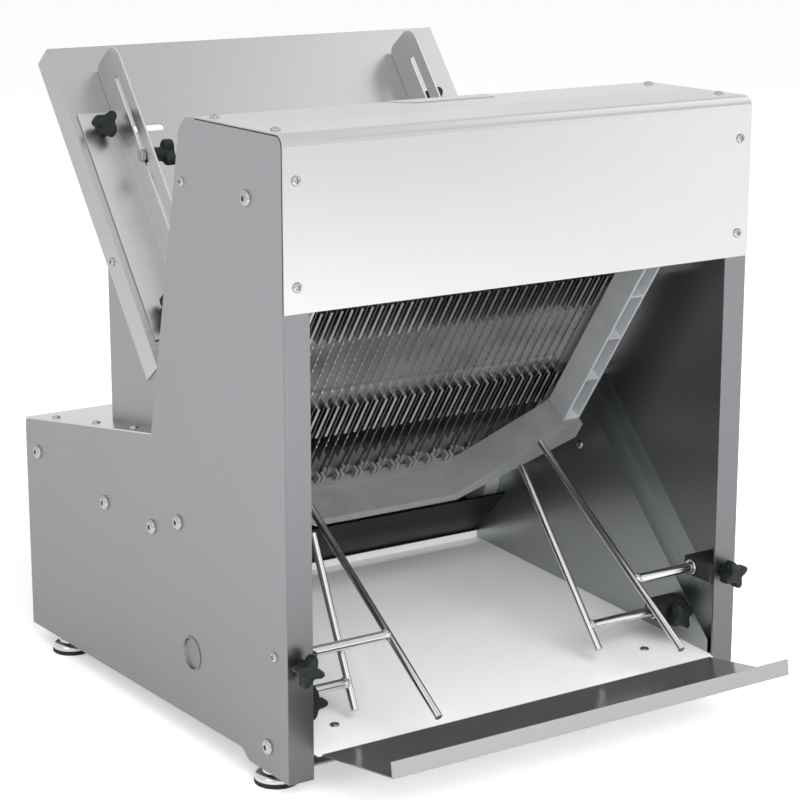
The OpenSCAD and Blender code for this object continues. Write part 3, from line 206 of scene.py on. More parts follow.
def draw_cast_skin(sheet: NodeSheet, given: Sockets) -> Sockets:
    """Draws the dimples and cloudy tone of a sand casting.

    Args:
        sheet: Sheet of the group.
        given: Inputs of the group.

    Returns:
        Outputs of the group.
    """
    pits = sheet.add("TexVoronoi", given, feature="SMOOTH_F1")
    bumps = sheet.add("TexNoise", {**given, "Detail": 6.0})
    mix = sheet.math("ADD", sheet.math("MULTIPLY", pits.outputs["Distance"], PIT_SHARE), bumps.outputs["Fac"])
    broad = sheet.math("MULTIPLY", given["Scale"], CLOUD_SCALE)
    cloud = sheet.add("TexNoise", {**given, "Scale": broad, "Detail": 4.0})
    return {"Height": mix, "Tone": cloud.outputs["Fac"]}


def draw_pebble(sheet: NodeSheet, given: Sockets) -> Sockets:
    """Draws the fine eroded skin of moulded plastic or rubber.

    Args:
        sheet: Sheet of the group.
        given: Inputs of the group.

    Returns:
        Outputs of the group.
    """
    cells = sheet.add("TexVoronoi", given)
    broad = sheet.math("MULTIPLY", given["Scale"], HAZE_SCALE)
    haze = sheet.add("TexNoise", {**given, "Scale": broad, "Detail": 4.0})
    return {"Height": cells.outputs["Distance"], "Tone": haze.outputs["Fac"]}


EFFECTS: dict[Effect, tuple[str, float, Callable[[NodeSheet, Sockets], Sockets]]] = {
    Effect.STREAKS: ("Fineness", 900.0, draw_streaks),
    Effect.SMUDGES: ("Scale", 9.0, draw_smudges),
    Effect.CAST_SKIN: ("Scale", 500.0, draw_cast_skin),
    Effect.PEBBLE: ("Scale", 1600.0, draw_pebble),
}


def effect_group(effect: Effect) -> bpy.types.NodeTree:
    """Builds a shared effect once.

    Args:
        effect: Which effect it is.

    Returns:
        The shader node group.
    """
    found = bpy.data.node_groups.get(effect.value)
    if found:
        return found
    size, value, fill = EFFECTS[effect]
    group = bpy.data.node_groups.new(effect.value, "ShaderNodeTree")
    group.interface.new_socket("Vector", in_out="INPUT", socket_type="NodeSocketVector")
    group.interface.new_socket(size, in_out="INPUT", socket_type="NodeSocketFloat").default_value = value
    sheet = NodeSheet(group)
    given = sheet.add("NodeGroupInput").outputs
    drawn = fill(sheet, {name: given[name] for name in ("Vector", size)})
    for name in drawn:
        group.interface.new_socket(name, in_out="OUTPUT", socket_type="NodeSocketFloat")
    sheet.add("NodeGroupOutput", drawn)
    return group


@dataclass(frozen=True)
class Finish:
    """A material: base colour, gloss and what the subclass draws on it."""

    name: str
    colour: Colour
    roughness: float = 0.4
    metallic: float = 1.0
    variation: float = 0.12
    bump: float = 0.1
    edge: float = 0.0006
    bump_depth: float = 0.0004
    light_share: float = 0.6
    tone_width: float = 0.2

    def effect(self, sheet: NodeSheet, effect: Effect, vector: NodeSocket, **values: float) -> Sockets:
        """Places a shared effect in the material, with values for its named inputs, and gives its outputs."""
        return sheet.add("Group", {"Vector": vector, **values}, node_tree=effect_group(effect)).outputs

    def tones(self) -> tuple[Colour, Colour]:
        """Returns the darkest and the lightest colour of the finish."""
        low = tuple(c * (1.0 - self.variation) for c in self.colour)
        high = tuple(min(1.0, c * (1.0 + self.variation * self.light_share)) for c in self.colour)
        return low, high

    def tone_ramp(self, sheet: NodeSheet, tone: NodeSocket) -> NodeSocket:
        """Colours the surface from its darkest to its lightest colour by a tone about 0.5."""
        (low, high), wide = self.tones(), self.tone_width
        return sheet.ramp(tone, [(0.5 - wide, low), (0.5, self.colour), (0.5 + wide, high)])

    def draw(self, sheet: NodeSheet, coords: NodeSocket) -> Sockets:
        """Draws the colour, roughness and height of the surface.

        Args:
            sheet: Sheet of the material.
            coords: Object coordinates.

        Returns:
            Sockets named colour, roughness and height.
        """
        raise NotImplementedError

    def plain(self) -> dict[str, float]:
        """Gives the values of plain sockets that only some finishes use."""
        return {}

    def build(self) -> bpy.types.Material:
        """Makes the material, or returns it if it exists.

        Returns:
            The material.
        """
        found = bpy.data.materials.get(self.name)
        if found:
            return found
        material = bpy.data.materials.new(self.name)
        sheet = clear_sheet(material)
        drawn = self.draw(sheet, sheet.add("TexCoord").outputs["Object"])
        bevel = sheet.add("Bevel", {"Radius": self.edge}, samples=4)
        bump = sheet.add("Bump", {"Strength": self.bump, "Distance": self.bump_depth,
                                  "Height": drawn["height"], "Normal": bevel.outputs[0]})
        shader = sheet.add("BsdfPrincipled", {"Base Color": drawn["colour"], "Roughness": drawn["roughness"],
                                              "Metallic": drawn.get("metallic", self.metallic),
                                              "Normal": bump.outputs[0], **self.plain()})
        sheet.add("OutputMaterial", {"Surface": shader.outputs[0]})
        material.diffuse_color = (*self.colour, 1.0)
        return material


@dataclass(frozen=True)
class BrushedSheet(Finish):
    """Stainless sheet with a brushed grain and light handling marks."""

    grain: Grain = Grain.ALONG_Z
    fineness: float = 900.0
    spread: float = 0.05
    smudge: float = 0.03
    smudge_scale: float = 11.0
    stretch: float = 0.35
    tone_width: float = 0.25

    def draw(self, sheet: NodeSheet, coords: NodeSocket) -> Sockets:
        """Draws streaks along the grain, with smudges in the gloss.

        Args:
            sheet: Sheet of the material.
            coords: Object coordinates.

        Returns:
            Sockets named colour, roughness and height.
        """
        drawn_out = sheet.add("Mapping", {"Vector": coords, "Scale": self.grain.value}).outputs[0]
        streaks = self.effect(sheet, Effect.STREAKS, drawn_out, Fineness=self.fineness)
        marks = self.effect(sheet, Effect.SMUDGES, coords, Scale=self.smudge_scale)
        colour = self.tone_ramp(sheet, streaks["Tone"])
        base = sheet.span(streaks["Tone"], self.roughness - self.spread, self.roughness + self.spread)
        rough = sheet.math("ADD", base, sheet.math("MULTIPLY", marks["Mask"], self.smudge))
        return {"colour": colour, "roughness": rough, "height": streaks["Height"]}

    def plain(self) -> dict[str, float]:
        """Gives the stretched highlight of a brushed sheet."""
        return {"Anisotropic": self.stretch}


@dataclass(frozen=True)
class FoldedPanel(BrushedSheet):
    """Side panel sheet, darkened by painted shade on its front flange and towards its foot."""

    # Painted shade: factors that darken the colour on the front flange and towards the foot
    flange_painted_shade: float = 0.66
    foot_painted_shade: float = 0.62
    fold: float = -0.2285
    fold_width: float = 0.0004
    height: float = 0.62

    def draw(self, sheet: NodeSheet, coords: NodeSocket) -> Sockets:
        """Draws the brushed sheet and darkens it by place with painted shade.

        Args:
            sheet: Sheet of the material.
            coords: Object coordinates.

        Returns:
            Sockets named colour, roughness and height.
        """
        drawn = super().draw(sheet, coords)
        place = sheet.add("SeparateXYZ", {"Vector": coords}).outputs
        ends = (self.fold - self.fold_width, self.fold + self.fold_width)
        # Painted shade: the front flange, ahead of the fold, is darkened by this factor
        side = sheet.step(place["Y"], ends, (self.flange_painted_shade, 1.0))
        # Painted shade: the sheet darkens towards its foot
        rise = sheet.step(place["Z"], (0.0, self.height), (self.foot_painted_shade, 1.0))
        drawn["colour"] = sheet.blend("MULTIPLY", 1.0, drawn["colour"], sheet.math("MULTIPLY", side, rise))
        return drawn


@dataclass(frozen=True)
class LippedSheet(BrushedSheet):
    """Chute sheet that is worn to a satin where loaves slide, and bare on its raised lip, which is coloured
    darker as painted shade.
    """

    # Painted shade: the lip's darker colour
    lip_painted_shade_colour: Colour = (0.27, 0.275, 0.28)
    lip_metallic: float = 0.7
    lip_haze: float = 0.06
    worn_metallic: float = 0.06
    crease: float = -0.2335
    crease_width: float = 0.001

    def draw(self, sheet: NodeSheet, coords: NodeSocket) -> Sockets:
        """Draws the worn floor, and the bare lip darkened by painted shade, on either side of the crease.

        Args:
            sheet: Sheet of the material.
            coords: Object coordinates.

        Returns:
            Sockets named colour, roughness, height and metallic.
        """
        drawn = super().draw(sheet, coords)
        along = sheet.add("SeparateXYZ", {"Vector": coords}).outputs["Y"]
        ends = (self.crease - self.crease_width, self.crease + self.crease_width)
        # This mask sets both the floor's wear and the lip's painted shade: 1 on the worn floor, 0 on the
        # darker lip
        worn = sheet.step(along, ends, (0.0, 1.0))
        return {"colour": sheet.blend("MIX", worn, (*self.lip_painted_shade_colour, 1.0), drawn["colour"]),
                "roughness": sheet.math("ADD", drawn["roughness"], sheet.span(worn, self.lip_haze, 0.0)),
                "height": drawn["height"],
                "metallic": sheet.span(worn, self.lip_metallic, self.worn_metallic)}


@dataclass(frozen=True)
class CastMetal(Finish):
    """Cast or worn metal with a dimpled skin."""

    scale: float = 420.0
    spread: float = 0.08

    def draw(self, sheet: NodeSheet, coords: NodeSocket) -> Sockets:
        """Draws the cast skin.

        Args:
            sheet: Sheet of the material.
            coords: Object coordinates.

        Returns:
            Sockets named colour, roughness and height.
        """
        skin = self.effect(sheet, Effect.CAST_SKIN, coords, Scale=self.scale)
        colour = self.tone_ramp(sheet, skin["Tone"])
        rough = sheet.span(skin["Tone"], self.roughness + self.spread, self.roughness - self.spread)
        return {"colour": colour, "roughness": rough, "height": skin["Height"]}


@dataclass(frozen=True)
class Moulded(Finish):
    """Moulded plastic or rubber with a fine eroded skin."""

    metallic: float = 0.0
    scale: float = 1500.0
    coat: float = 0.0
    coat_roughness: float = 0.12
    specular: float = 0.4
    shine: float = 0.06
    haze: float = 0.1

    def draw(self, sheet: NodeSheet, coords: NodeSocket) -> Sockets:
        """Draws the pebbled skin with a faint haze.

        Args:
            sheet: Sheet of the material.
            coords: Object coordinates.

        Returns:
            Sockets named colour, roughness and height.
        """
        skin = self.effect(sheet, Effect.PEBBLE, coords, Scale=self.scale)
        (low, high), wide = self.tones(), self.tone_width
        colour = sheet.ramp(skin["Tone"], [(0.5 - wide, low), (0.5 + wide, high)])
        rough = sheet.span(skin["Tone"], self.roughness - self.shine, self.roughness + self.haze)
        return {"colour": colour, "roughness": rough, "height": skin["Height"]}

    def plain(self) -> dict[str, float]:
        """Gives the shine and the clear coat of a painted or polished skin."""
        return {"Specular IOR Level": self.specular, "Coat Weight": self.coat,
                "Coat Roughness": self.coat_roughness}


# Painted shade: the side sheets' base colour is set darker than the hood's, for sides that face away from the
# light
PANEL = FoldedPanel("brushed_panel_steel", (0.355, 0.352, 0.37), roughness=0.36, variation=0.02, bump=0.012,
                    fineness=1400.0, spread=0.03)
REAR = BrushedSheet("brushed_rear_steel", (0.40, 0.40, 0.41), roughness=0.36, variation=0.03, bump=0.02,
                    grain=Grain.ALONG_X, fineness=1200.0, spread=0.03)
HOOD = BrushedSheet("satin_hood_steel", (0.545, 0.545, 0.545), roughness=0.26, variation=0.012, bump=0.004,
                    grain=Grain.ALONG_X, fineness=1300.0, spread=0.015, smudge=0.02)
TRAY = LippedSheet("mirror_tray_steel", (0.96, 0.96, 0.955), roughness=0.1, variation=0.02, bump=0.008,
                   grain=Grain.ALONG_Y, spread=0.02, smudge=0.02)
PLATE = BrushedSheet("hopper_plate_steel", (0.45, 0.45, 0.455), roughness=0.27, variation=0.012, bump=0.004,
                     grain=Grain.ALONG_X, fineness=1200.0, spread=0.015, smudge=0.02)
# Painted light: the fences are coloured lighter than the hopper plate's steel, against the dark reflections
# they catch
FENCE = BrushedSheet("fence_steel", (0.60, 0.60, 0.605), roughness=0.32, variation=0.015, bump=0.006,
                     fineness=1200.0, spread=0.02, smudge=0.02)
INNER = BrushedSheet("shaded_inner_steel", (0.39, 0.415, 0.41), roughness=0.3, variation=0.04, bump=0.012,
                     spread=0.03)
# Painted shade: the drive cover is coloured near black to stand for the shade under the blades
SHADE = BrushedSheet("painted_shade_drive_steel", (0.018, 0.021, 0.0195), roughness=0.42, variation=0.08, bump=0.02)
COMB = CastMetal("comb_steel", (0.46, 0.46, 0.465), roughness=0.2, variation=0.45, bump=0.5, scale=260.0)
# Painted shade: the blades' base colour is set darker than the combs' steel
BLADE = CastMetal("ground_blade_steel", (0.36, 0.36, 0.365), roughness=0.2, variation=0.3, bump=0.25,
                  scale=320.0, edge=0.0002)
CASTING = CastMetal("cast_side_skin", (0.55, 0.57, 0.585), roughness=0.45, metallic=0.4, variation=0.1,
                    bump=0.2)
BEAM = CastMetal("cast_beam_skin", (0.25, 0.26, 0.255), roughness=0.4, metallic=0.4, variation=0.12, bump=0.2)
TAB = BrushedSheet("warm_tab_steel", (0.60, 0.575, 0.55), roughness=0.3, variation=0.04, bump=0.03,
                   grain=Grain.ALONG_X)
MACHINE = BrushedSheet("turned_steel", (0.42, 0.42, 0.43), roughness=0.3, variation=0.1, bump=0.05,
                       grain=Grain.ALONG_X)
BRIGHT = BrushedSheet("bright_rod_steel", (0.60, 0.60, 0.59), roughness=0.14, variation=0.08, bump=0.02,
                      grain=Grain.ALONG_X)
SCREW = BrushedSheet("screw_steel", (0.42, 0.415, 0.41), roughness=0.22, variation=0.12, bump=0.03,
                     fineness=500.0)
PLASTIC = Moulded("black_knob_plastic", (0.010, 0.013, 0.0125), roughness=0.4, variation=0.25, bump=0.08,
                  specular=0.22)
NYLON = Moulded("black_nylon", (0.02, 0.021, 0.021), roughness=0.48, variation=0.2, bump=0.08, specular=0.3)
RUBBER = Moulded("black_rubber", (0.016, 0.016, 0.017), roughness=0.62, variation=0.25, bump=0.14,
                 specular=0.3)
ENAMEL = Moulded("motor_enamel", (0.10, 0.115, 0.125), roughness=0.38, variation=0.15, bump=0.05, coat=0.3)
GREEN = Moulded("green_cap_plastic", (0.02, 0.22, 0.06), roughness=0.25, variation=0.1, bump=0.03, coat=0.4)
RED = Moulded("red_cap_plastic", (0.42, 0.018, 0.018), roughness=0.25, variation=0.1, bump=0.03, coat=0.4)


def make_piece(name: str, shape: BMesh, finish: Finish, body: str, replaces: Iterable[str] = (),
               smooth: float = 40.0) -> bpy.types.Object:
    """Turns a mesh into a dressed piece that rides on a body.

    Args:
        name: Piece name.
        shape: Mesh, freed here.
        finish: Finish to dress it with.
        body: Body that it rides on.
        replaces: Nodes that it stands for.
        smooth: Largest angle between faces that are shaded as one, in degrees.

    Returns:
        The piece.
    """
    mesh = bpy.data.meshes.new(name)
    bmesh.ops.recalc_face_normals(shape, faces=shape.faces)
    shape.to_mesh(mesh)
    shape.free()
    for polygon in mesh.polygons:
        polygon.use_smooth = True
    mesh.set_sharp_from_angle(angle=math.radians(smooth))
    mesh.materials.append(finish.build())
    piece = link_object(name, mesh)
    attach(piece, body)
    nodes = tuple(replaces)
    if nodes:
        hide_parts(*nodes)
    LOG.info("%s: %d faces on %s", name, len(mesh.polygons), body)
    return piece


def dress(nodes: Iterable[str], finish: Finish) -> None:
    """Gives solids of the frame a finish.

    Args:
        nodes: Node names.
        finish: Finish to give them.
    """
    material = finish.build()
    for name in nodes:
        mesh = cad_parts[name].data
        mesh.materials.clear()
        mesh.materials.append(material)
        LOG.info("%s: dressed with %s", name, finish.name)


def seat_at(place: Sequence[float], axis: Sequence[float]) -> Matrix:
    """Makes the matrix that stands a shape in millimetres on a place in metres.

    Args:
        place: Seat of the shape.
        axis: Direction that the shape's +Z points in.

    Returns:
        The matrix.
    """
    turn = Vector((0.0, 0.0, 1.0)).rotation_difference(Vector(axis).normalized()).to_matrix().to_4x4()
    return Matrix.Translation(Vector(place)) @ turn @ Matrix.Scale(MM, 4)


def add_ring(shape: BMesh, seat: Matrix, points: Iterable[Point]) -> list[BMVert]:
    """Adds points, given by radius, angle and height about a seat's axis."""
    return [shape.verts.new(seat @ Vector((r * math.cos(a), r * math.sin(a), z))) for r, a, z in points]


def join_rows(shape: BMesh, rows: Sequence[Sequence[BMVert]]) -> None:
    """Closes the skin between rings of points, where a ring may be a single point.

    Args:
        shape: Mesh to add to.
        rows: Rings, in order.
    """
    for low, high in zip(rows, rows[1:]):
        for i in range(max(len(low), len(high))):
            j = i + 1
            ring = (low[i % len(low)], low[j % len(low)], high[j % len(high)], high[i % len(high)])
            corners = list(dict.fromkeys(ring))
            if len(corners) > 2:
                shape.faces.new(corners)


def surface(shape: BMesh, profile: Profile, seat: Matrix, reach: Callable[[float], float],
            steps: int) -> None:
    """Sweeps a profile round an axis with a reach that changes by angle.

    Args:
        shape: Mesh to add to.
        profile: Points of radius and height; a radius of zero closes the end.
        seat: Matrix of the seat.
        reach: Factor on the radius at an angle in radians.
        steps: Points round the axis.
    """
    rows = []
    for radius, height in profile:
        angles = [math.tau * i / steps for i in range(steps if radius > 0.0 else 1)]
        rows.append(add_ring(shape, seat, ((radius * reach(a), a, height) for a in angles)))
    join_rows(shape, rows)


def lathe(shape: BMesh, profile: Profile, seat: Matrix, steps: int = 40) -> None:
    """Turns a profile of radius and height, from the foot to the top, about a seat's axis."""
    surface(shape, profile, seat, lambda _angle: 1.0, steps)


def raised(profile: Profile, rise: float) -> list[tuple[float, float]]:
    """Gives a profile of radius and height, lifted by a rise."""
    return [(radius, height + rise) for radius, height in profile]


def thread(shape: BMesh, seat: Matrix, radius: float, low: float, high: float, pitch: float = 1.25,
           steps: int = 24) -> None:
    """Adds a rod with a helical thread, in millimetres.

    Args:
        shape: Mesh to add to.
        seat: Matrix of the rod's seat.
        radius: Outer radius.
        low: Start along the seat's axis.
        high: End along the seat's axis.
        pitch: Rise of the thread in one turn.
        steps: Points round the rod.
    """
    count = max(4, 2 * int((high - low - pitch) / pitch))
    rows = []
    for i in range(count + 1):
        far = radius if i % 2 else radius - GROOVE_SHARE * pitch
        points = [(far, math.tau * j / steps, low + pitch * (i / 2 + j / steps)) for j in range(steps)]
        rows.append(add_ring(shape, seat, points))
    for i in range(count):
        for j in range(steps - 1):
            shape.faces.new((rows[i][j], rows[i][j + 1], rows[i + 1][j + 1], rows[i + 1][j]))
    for i in range(count - 2):
        shape.faces.new((rows[i][-1], rows[i + 2][0], rows[i + 3][0], rows[i + 1][-1]))
    shape.faces.new(rows[0])
    shape.faces.new(rows[-1])


# Sizes of the machine in millimetres, from its middle, its front plane and the panels' lower edge
FRONT_Y = -229.5
LIFT = 17.0
HALF_W = 280.0
TOWER_H = 624.0
BODY_D = 572.0
BOX_H = 243.0
TOWER_TOP = 190.0
HOOD_D = 160.0
HOOD_Z = 460.0
WALL_X = 252.0
SKIN = 1.5
SHEET = 2.0
SEAT_GAP = 0.3
COVER_Y = 267.0
COVER_Z = 290.0
COVER_RUN = BODY_D - COVER_Y
COVER_FALL = COVER_Z - BOX_H
COVER_LEN = math.hypot(COVER_FALL, COVER_RUN)
TRAY_RUN = 441.0
TRAY_RISE = 21.2
TRAY_TILT = math.atan2(TRAY_RISE, TRAY_RUN)
SIDES = {"left": -1.0, "right": 1.0}


def spot(x: float, y: float, z: float) -> Point:
    """Gives a place in metres from millimetres to the right, behind the front and over the panels' foot."""
    return (x * MM, (y + FRONT_Y) * MM, (z + LIFT) * MM)


def square_to(tilt: float) -> Point:
    """Gives the direction square to a sheet that climbs to the rear at a tilt in radians."""
    return (0.0, -math.sin(tilt), math.cos(tilt))


@dataclass(frozen=True)
class Slope:
    """A sloped sheet, by its front edge in millimetres and its climb to the rear in radians."""

    y: float
    z: float
    tilt: float

    def spot(self, x: float, s: float, h: float) -> Point:
        """Gives a place in metres from millimetres to the right, along the slope and over the sheet."""
        c, n = math.cos(self.tilt), math.sin(self.tilt)
        return spot(x, self.y + s * c - h * n, self.z + s * n + h * c)


HOPPER_SLOPE = Slope(y=302.5, z=350.0, tilt=math.radians(52.3))
COVER_SLOPE = Slope(y=COVER_Y, z=COVER_Z, tilt=-math.atan2(COVER_FALL, COVER_RUN))


class Recess(Enum):
    """Driver recess of a screw, as its half width and its reach in shares of the head's diameter."""

    CROSS = (0.08, 0.27)
    HEX = (0.16, 0.0)


@dataclass
class ScrewHead:
    """Domed screw head with a driver recess, in millimetres."""

    diameter: float
    height: float
    recess: Recess
    rings: int = 8
    steps: int = 72
    rim_share: float = 0.25
    roundness: float = 2.4
    draft_share: float = 0.86
    floor_share: float = 0.3

    def outline(self, angle: float) -> float:
        """Gives the radius of the recess at an angle.

        Args:
            angle: Angle round the head, in radians.

        Returns:
            Radius in millimetres.
        """
        wide, reach = (share * self.diameter for share in self.recess.value)
        if self.recess is Recess.HEX:
            return wide / math.cos(math.remainder(angle, math.pi / 3))
        near, far = sorted((abs(math.cos(angle)), abs(math.sin(angle))))
        return min(reach / far, wide / max(near, TINY))

    def dome(self, radius: float) -> float:
        """Gives the height of the head's top at a radius."""
        share = min(1.0, 2 * radius / self.diameter)
        rise = math.sqrt(1.0 - share ** self.roundness)
        return self.height * (self.rim_share + (1.0 - self.rim_share) * rise)

    def add(self, shape: BMesh, place: Point, axis: Point, turn: float) -> None:
        """Adds one head to a mesh.

        Args:
            shape: Mesh to add to.
            place: Seat of the head.
            axis: Direction that it faces.
            turn: Turn of its recess, in radians.
        """
        seat = seat_at(place, axis) @ Matrix.Rotation(turn, 4, "Z")
        angles = [math.tau * i / self.steps for i in range(self.steps)]
        rim = self.diameter / 2
        rows = [[(rim, 0.0) for _ in angles]]
        for k in range(self.rings + 1):
            radii = [rim + (self.outline(a) - rim) * k / self.rings for a in angles]
            rows.append([(r, self.dome(r)) for r in radii])
        rows.append([(r * self.draft_share, self.height * self.floor_share) for r, _ in rows[-1]])
        rings = [add_ring(shape, seat, [(r, a, z) for a, (r, z) in zip(angles, row)]) for row in rows]
        join_rows(shape, rings)
        shape.faces.new(rings[-1])


Seat = tuple[ScrewHead, Point, Point]


@dataclass
class Fasteners:
    """All screws of the housing, with their places as shares of what they hold or in millimetres."""

    big: ScrewHead = field(default_factory=lambda: ScrewHead(16.0, 4.0, Recess.HEX))
    small: ScrewHead = field(default_factory=lambda: ScrewHead(10.0, 2.5, Recess.CROSS))
    big_tower_shares: Profile = ((0.343, 0.897), (0.205, 0.043))
    big_box_shares: Profile = ((0.948, 0.865), (0.659, 0.786), (0.472, 0.786), (0.372, 0.865))
    small_tower_shares: Profile = ((1.0, 0.897), (0.132, 0.197))
    hood_front_shares: tuple[float, ...] = (0.777, 0.934)
    hood_top_shares: tuple[float, ...] = (0.212, 0.919)
    cover_shares: tuple[float, ...] = (0.207, 0.502, 0.83)
    edge_x: float = 266.0
    wall_at: Point = (252.0, 236.0, 208.0)
    tray_at: Point = (198.0, 48.0, 28.1)
    gusset_s: tuple[float, ...] = (65.0, 121.0)
    gusset_x: float = 240.5
    flange_s: float = 135.0
    flange_h: float = -18.0
    first_turn: float = 0.4
    outer_turn: float = 0.9
    inner_turn: float = 0.7

    def outer_seats(self, side: float) -> list[Seat]:
        """Places the heads that show on the outside of one half.

        Args:
            side: Sign of X on that half.

        Returns:
            Heads with their places and directions.
        """
        x, edge = side * HALF_W, side * self.edge_x
        out, front, top = (side, 0.0, 0.0), (0.0, -1.0, 0.0), (0.0, 0.0, 1.0)
        up = square_to(COVER_SLOPE.tilt)
        seats = [(self.big, spot(x, y * TOWER_TOP, z * TOWER_H), out) for y, z in self.big_tower_shares]
        seats += [(self.big, spot(x, y * BODY_D, z * BOX_H), out) for y, z in self.big_box_shares]
        seats += [(self.small, spot(x, y * TOWER_TOP, z * TOWER_H), out) for y, z in self.small_tower_shares]
        seats += [(self.small, spot(edge, -SKIN, z * TOWER_H), front) for z in self.hood_front_shares]
        seats += [(self.small, spot(edge, y * HOOD_D, TOWER_H + SKIN), top) for y in self.hood_top_shares]
        seats += [(self.small, COVER_SLOPE.spot(edge, s * COVER_LEN, SKIN), up) for s in self.cover_shares]
        return seats

    def inner_seats(self, side: float) -> list[Seat]:
        """Places the heads that hold the inner sheets of one half.

        Args:
            side: Sign of X on that half.

        Returns:
            Heads with their places and directions.
        """
        wall, tray = (spot(side * x, y, z) for x, y, z in (self.wall_at, self.tray_at))
        flange = HOPPER_SLOPE.spot(side * WALL_X, self.flange_s, self.flange_h)
        held = [(wall, (-side, 0.0, 0.0)), (tray, square_to(TRAY_TILT)), (flange, (side, 0.0, 0.0))]
        held += [(COVER_SLOPE.spot(side * self.gusset_x, s, SKIN + SHEET), square_to(COVER_SLOPE.tilt))
                 for s in self.gusset_s]
        return [(self.small, place, axis) for place, axis in held]

    def build(self) -> None:
        """Builds the heads in the place of the plain ones, and those that hold the inner sheets."""
        outer, inner = bmesh.new(), bmesh.new()
        turn = self.first_turn
        for side in SIDES.values():
            for shape, seats, more in ((outer, self.outer_seats(side), self.outer_turn),
                                       (inner, self.inner_seats(side), self.inner_turn)):
                for head, place, axis in seats:
                    turn += more
                    head.add(shape, place, axis, turn)
        make_piece("housing_screw_heads", outer, SCREW, "housing", ["housing_screws"])
        make_piece("sheet_screw_heads", inner, SCREW, "housing")


@dataclass
class StarKnob:
    """Moulded star knob on a steel stem, in millimetres; the neck and the head stand on the hub's top."""

    node: str
    seat: Point
    axis: Point
    lobes: int
    diameter: float
    stem_d: float
    stem_tip: float
    hub: float = 8.0
    nut_at: float | None = None
    turn: float = 0.0
    waist: float = 0.52
    swell: float = 1.35
    stem_in: float = 1.0
    steps: int = 96
    hub_foot: Profile = ((0.0, 0.0), (7.0, 0.0), (7.8, 0.6))
    neck: Profile = ((7.6, -1.0), (8.4, 0.6), (8.4, 4.0), (0.0, 4.0))
    head_shares: Profile = ((0.0, 0.5), (0.78, 0.3), (0.92, 0.8), (0.985, 2.0), (1.0, 4.0), (0.985, 10.2),
                            (0.95, 11.8), (0.88, 12.6), (0.8, 12.8), (0.34, 12.8), (0.3, 12.3), (0.0, 12.2))
    nut: Profile = ((0.0, -5.0), (6.2, -5.0), (7.0, -4.4), (7.0, -0.6), (6.2, 0.0), (0.0, 0.0))

    def reach(self, angle: float) -> float:
        """Gives the share of the full radius at an angle in radians, from the waist to 1."""
        wave = (1.0 + math.cos(self.lobes * (angle - self.turn))) / 2
        return self.waist + (1.0 - self.waist) * wave ** self.swell

    def build(self) -> None:
        """Builds the plastic head in the place of the plain knob, and its steel stem."""
        seat = seat_at(self.seat, self.axis)
        shape = bmesh.new()
        lathe(shape, [*self.hub_foot, *raised(self.neck, self.hub)], seat)
        head = [(self.diameter / 2 * share, height) for share, height in self.head_shares]
        surface(shape, raised(head, self.hub), seat, self.reach, self.steps)
        make_piece(f"{self.node}_head", shape, PLASTIC, self.node, [self.node], smooth=32.0)
        steel = bmesh.new()
        thread(steel, seat, self.stem_d / 2, self.stem_tip, self.stem_in)
        if self.nut_at is not None:
            lathe(steel, raised(self.nut, self.nut_at), seat, steps=6)
        make_piece(f"{self.node}_stem", steel, SCREW, self.node, smooth=35.0)


@dataclass
class LevellingFoot:
    """Rubber foot with a steel cap and a threaded stem, in millimetres."""

    node: str
    x: float
    y: float
    stem_r: float = 4.0
    stem_low: float = 14.5
    stem_high: float = 43.0
    steps: int = 64
    pad: Profile = ((0.0, 1.2), (16.0, 1.2), (17.0, 0.0), (21.7, 0.0), (22.3, 0.6), (22.4, 2.0), (21.9, 2.5),
                    (21.9, 3.0), (22.3, 3.5), (22.2, 4.4), (21.4, 4.9), (13.0, 4.9))
    cap: Profile = ((20.6, 4.7), (21.9, 4.8), (22.1, 5.5), (22.0, 7.4), (21.4, 9.0), (20.0, 10.4),
                    (17.6, 11.2), (14.8, 11.5), (14.0, 12.0), (13.8, 14.0), (13.0, 14.8), (0.0, 14.9))

    def build(self) -> None:
        """Builds the pad in the place of the plain foot, with its cap and stem."""
        seat = seat_at(spot(self.x, self.y, -LIFT), (0.0, 0.0, 1.0))
        pad = bmesh.new()
        lathe(pad, self.pad, seat, self.steps)
        make_piece(f"{self.node}_pad", pad, RUBBER, self.node, [self.node])
        cap = bmesh.new()
        lathe(cap, self.cap, seat, self.steps)
        thread(cap, seat, self.stem_r, self.stem_low, self.stem_high)
        make_piece(f"{self.node}_cap", cap, BRIGHT, self.node)


@dataclass
class GuideRod:
    """Ends and weld of one chute guide rod, in millimetres and degrees."""

    node: str
    x: float
    y: float
    z: float
    slope: float
    fore: float
    back: float
    end: Profile = ((4.0, 0.0), (3.9, 0.35), (3.5, 0.7), (2.6, 0.95), (0.0, 1.1))
    weld: Profile = ((4.4, 0.6), (5.4, 1.4), (6.1, 2.6), (6.3, 3.8), (5.9, 5.0), (5.0, 6.2))
    ripples: float = 11.0
    ripple_share: float = 0.035
    end_steps: int = 32
    weld_steps: int = 66

    def ripple(self, angle: float) -> float:
        """Gives the factor on the weld's radius at an angle."""
        return 1.0 + self.ripple_share * math.sin(self.ripples * angle)

    def build(self) -> None:
        """Builds rounded rod ends and the weld bead between the rods."""
        tilt = math.radians(self.slope)
        along = Vector((0.0, math.cos(tilt), math.sin(tilt)))
        middle = Vector(spot(self.x, self.y, self.z))
        shape = bmesh.new()
        for far, way in ((self.back, along), (-self.fore, -along)):
            lathe(shape, self.end, seat_at(middle + along * far * MM, way), self.end_steps)
        seat = seat_at(middle, (math.copysign(1.0, self.x), 0.0, 0.0))
        surface(shape, self.weld, seat, self.ripple, self.weld_steps)
        make_piece(f"{self.node}_ends", shape, BRIGHT, self.node)


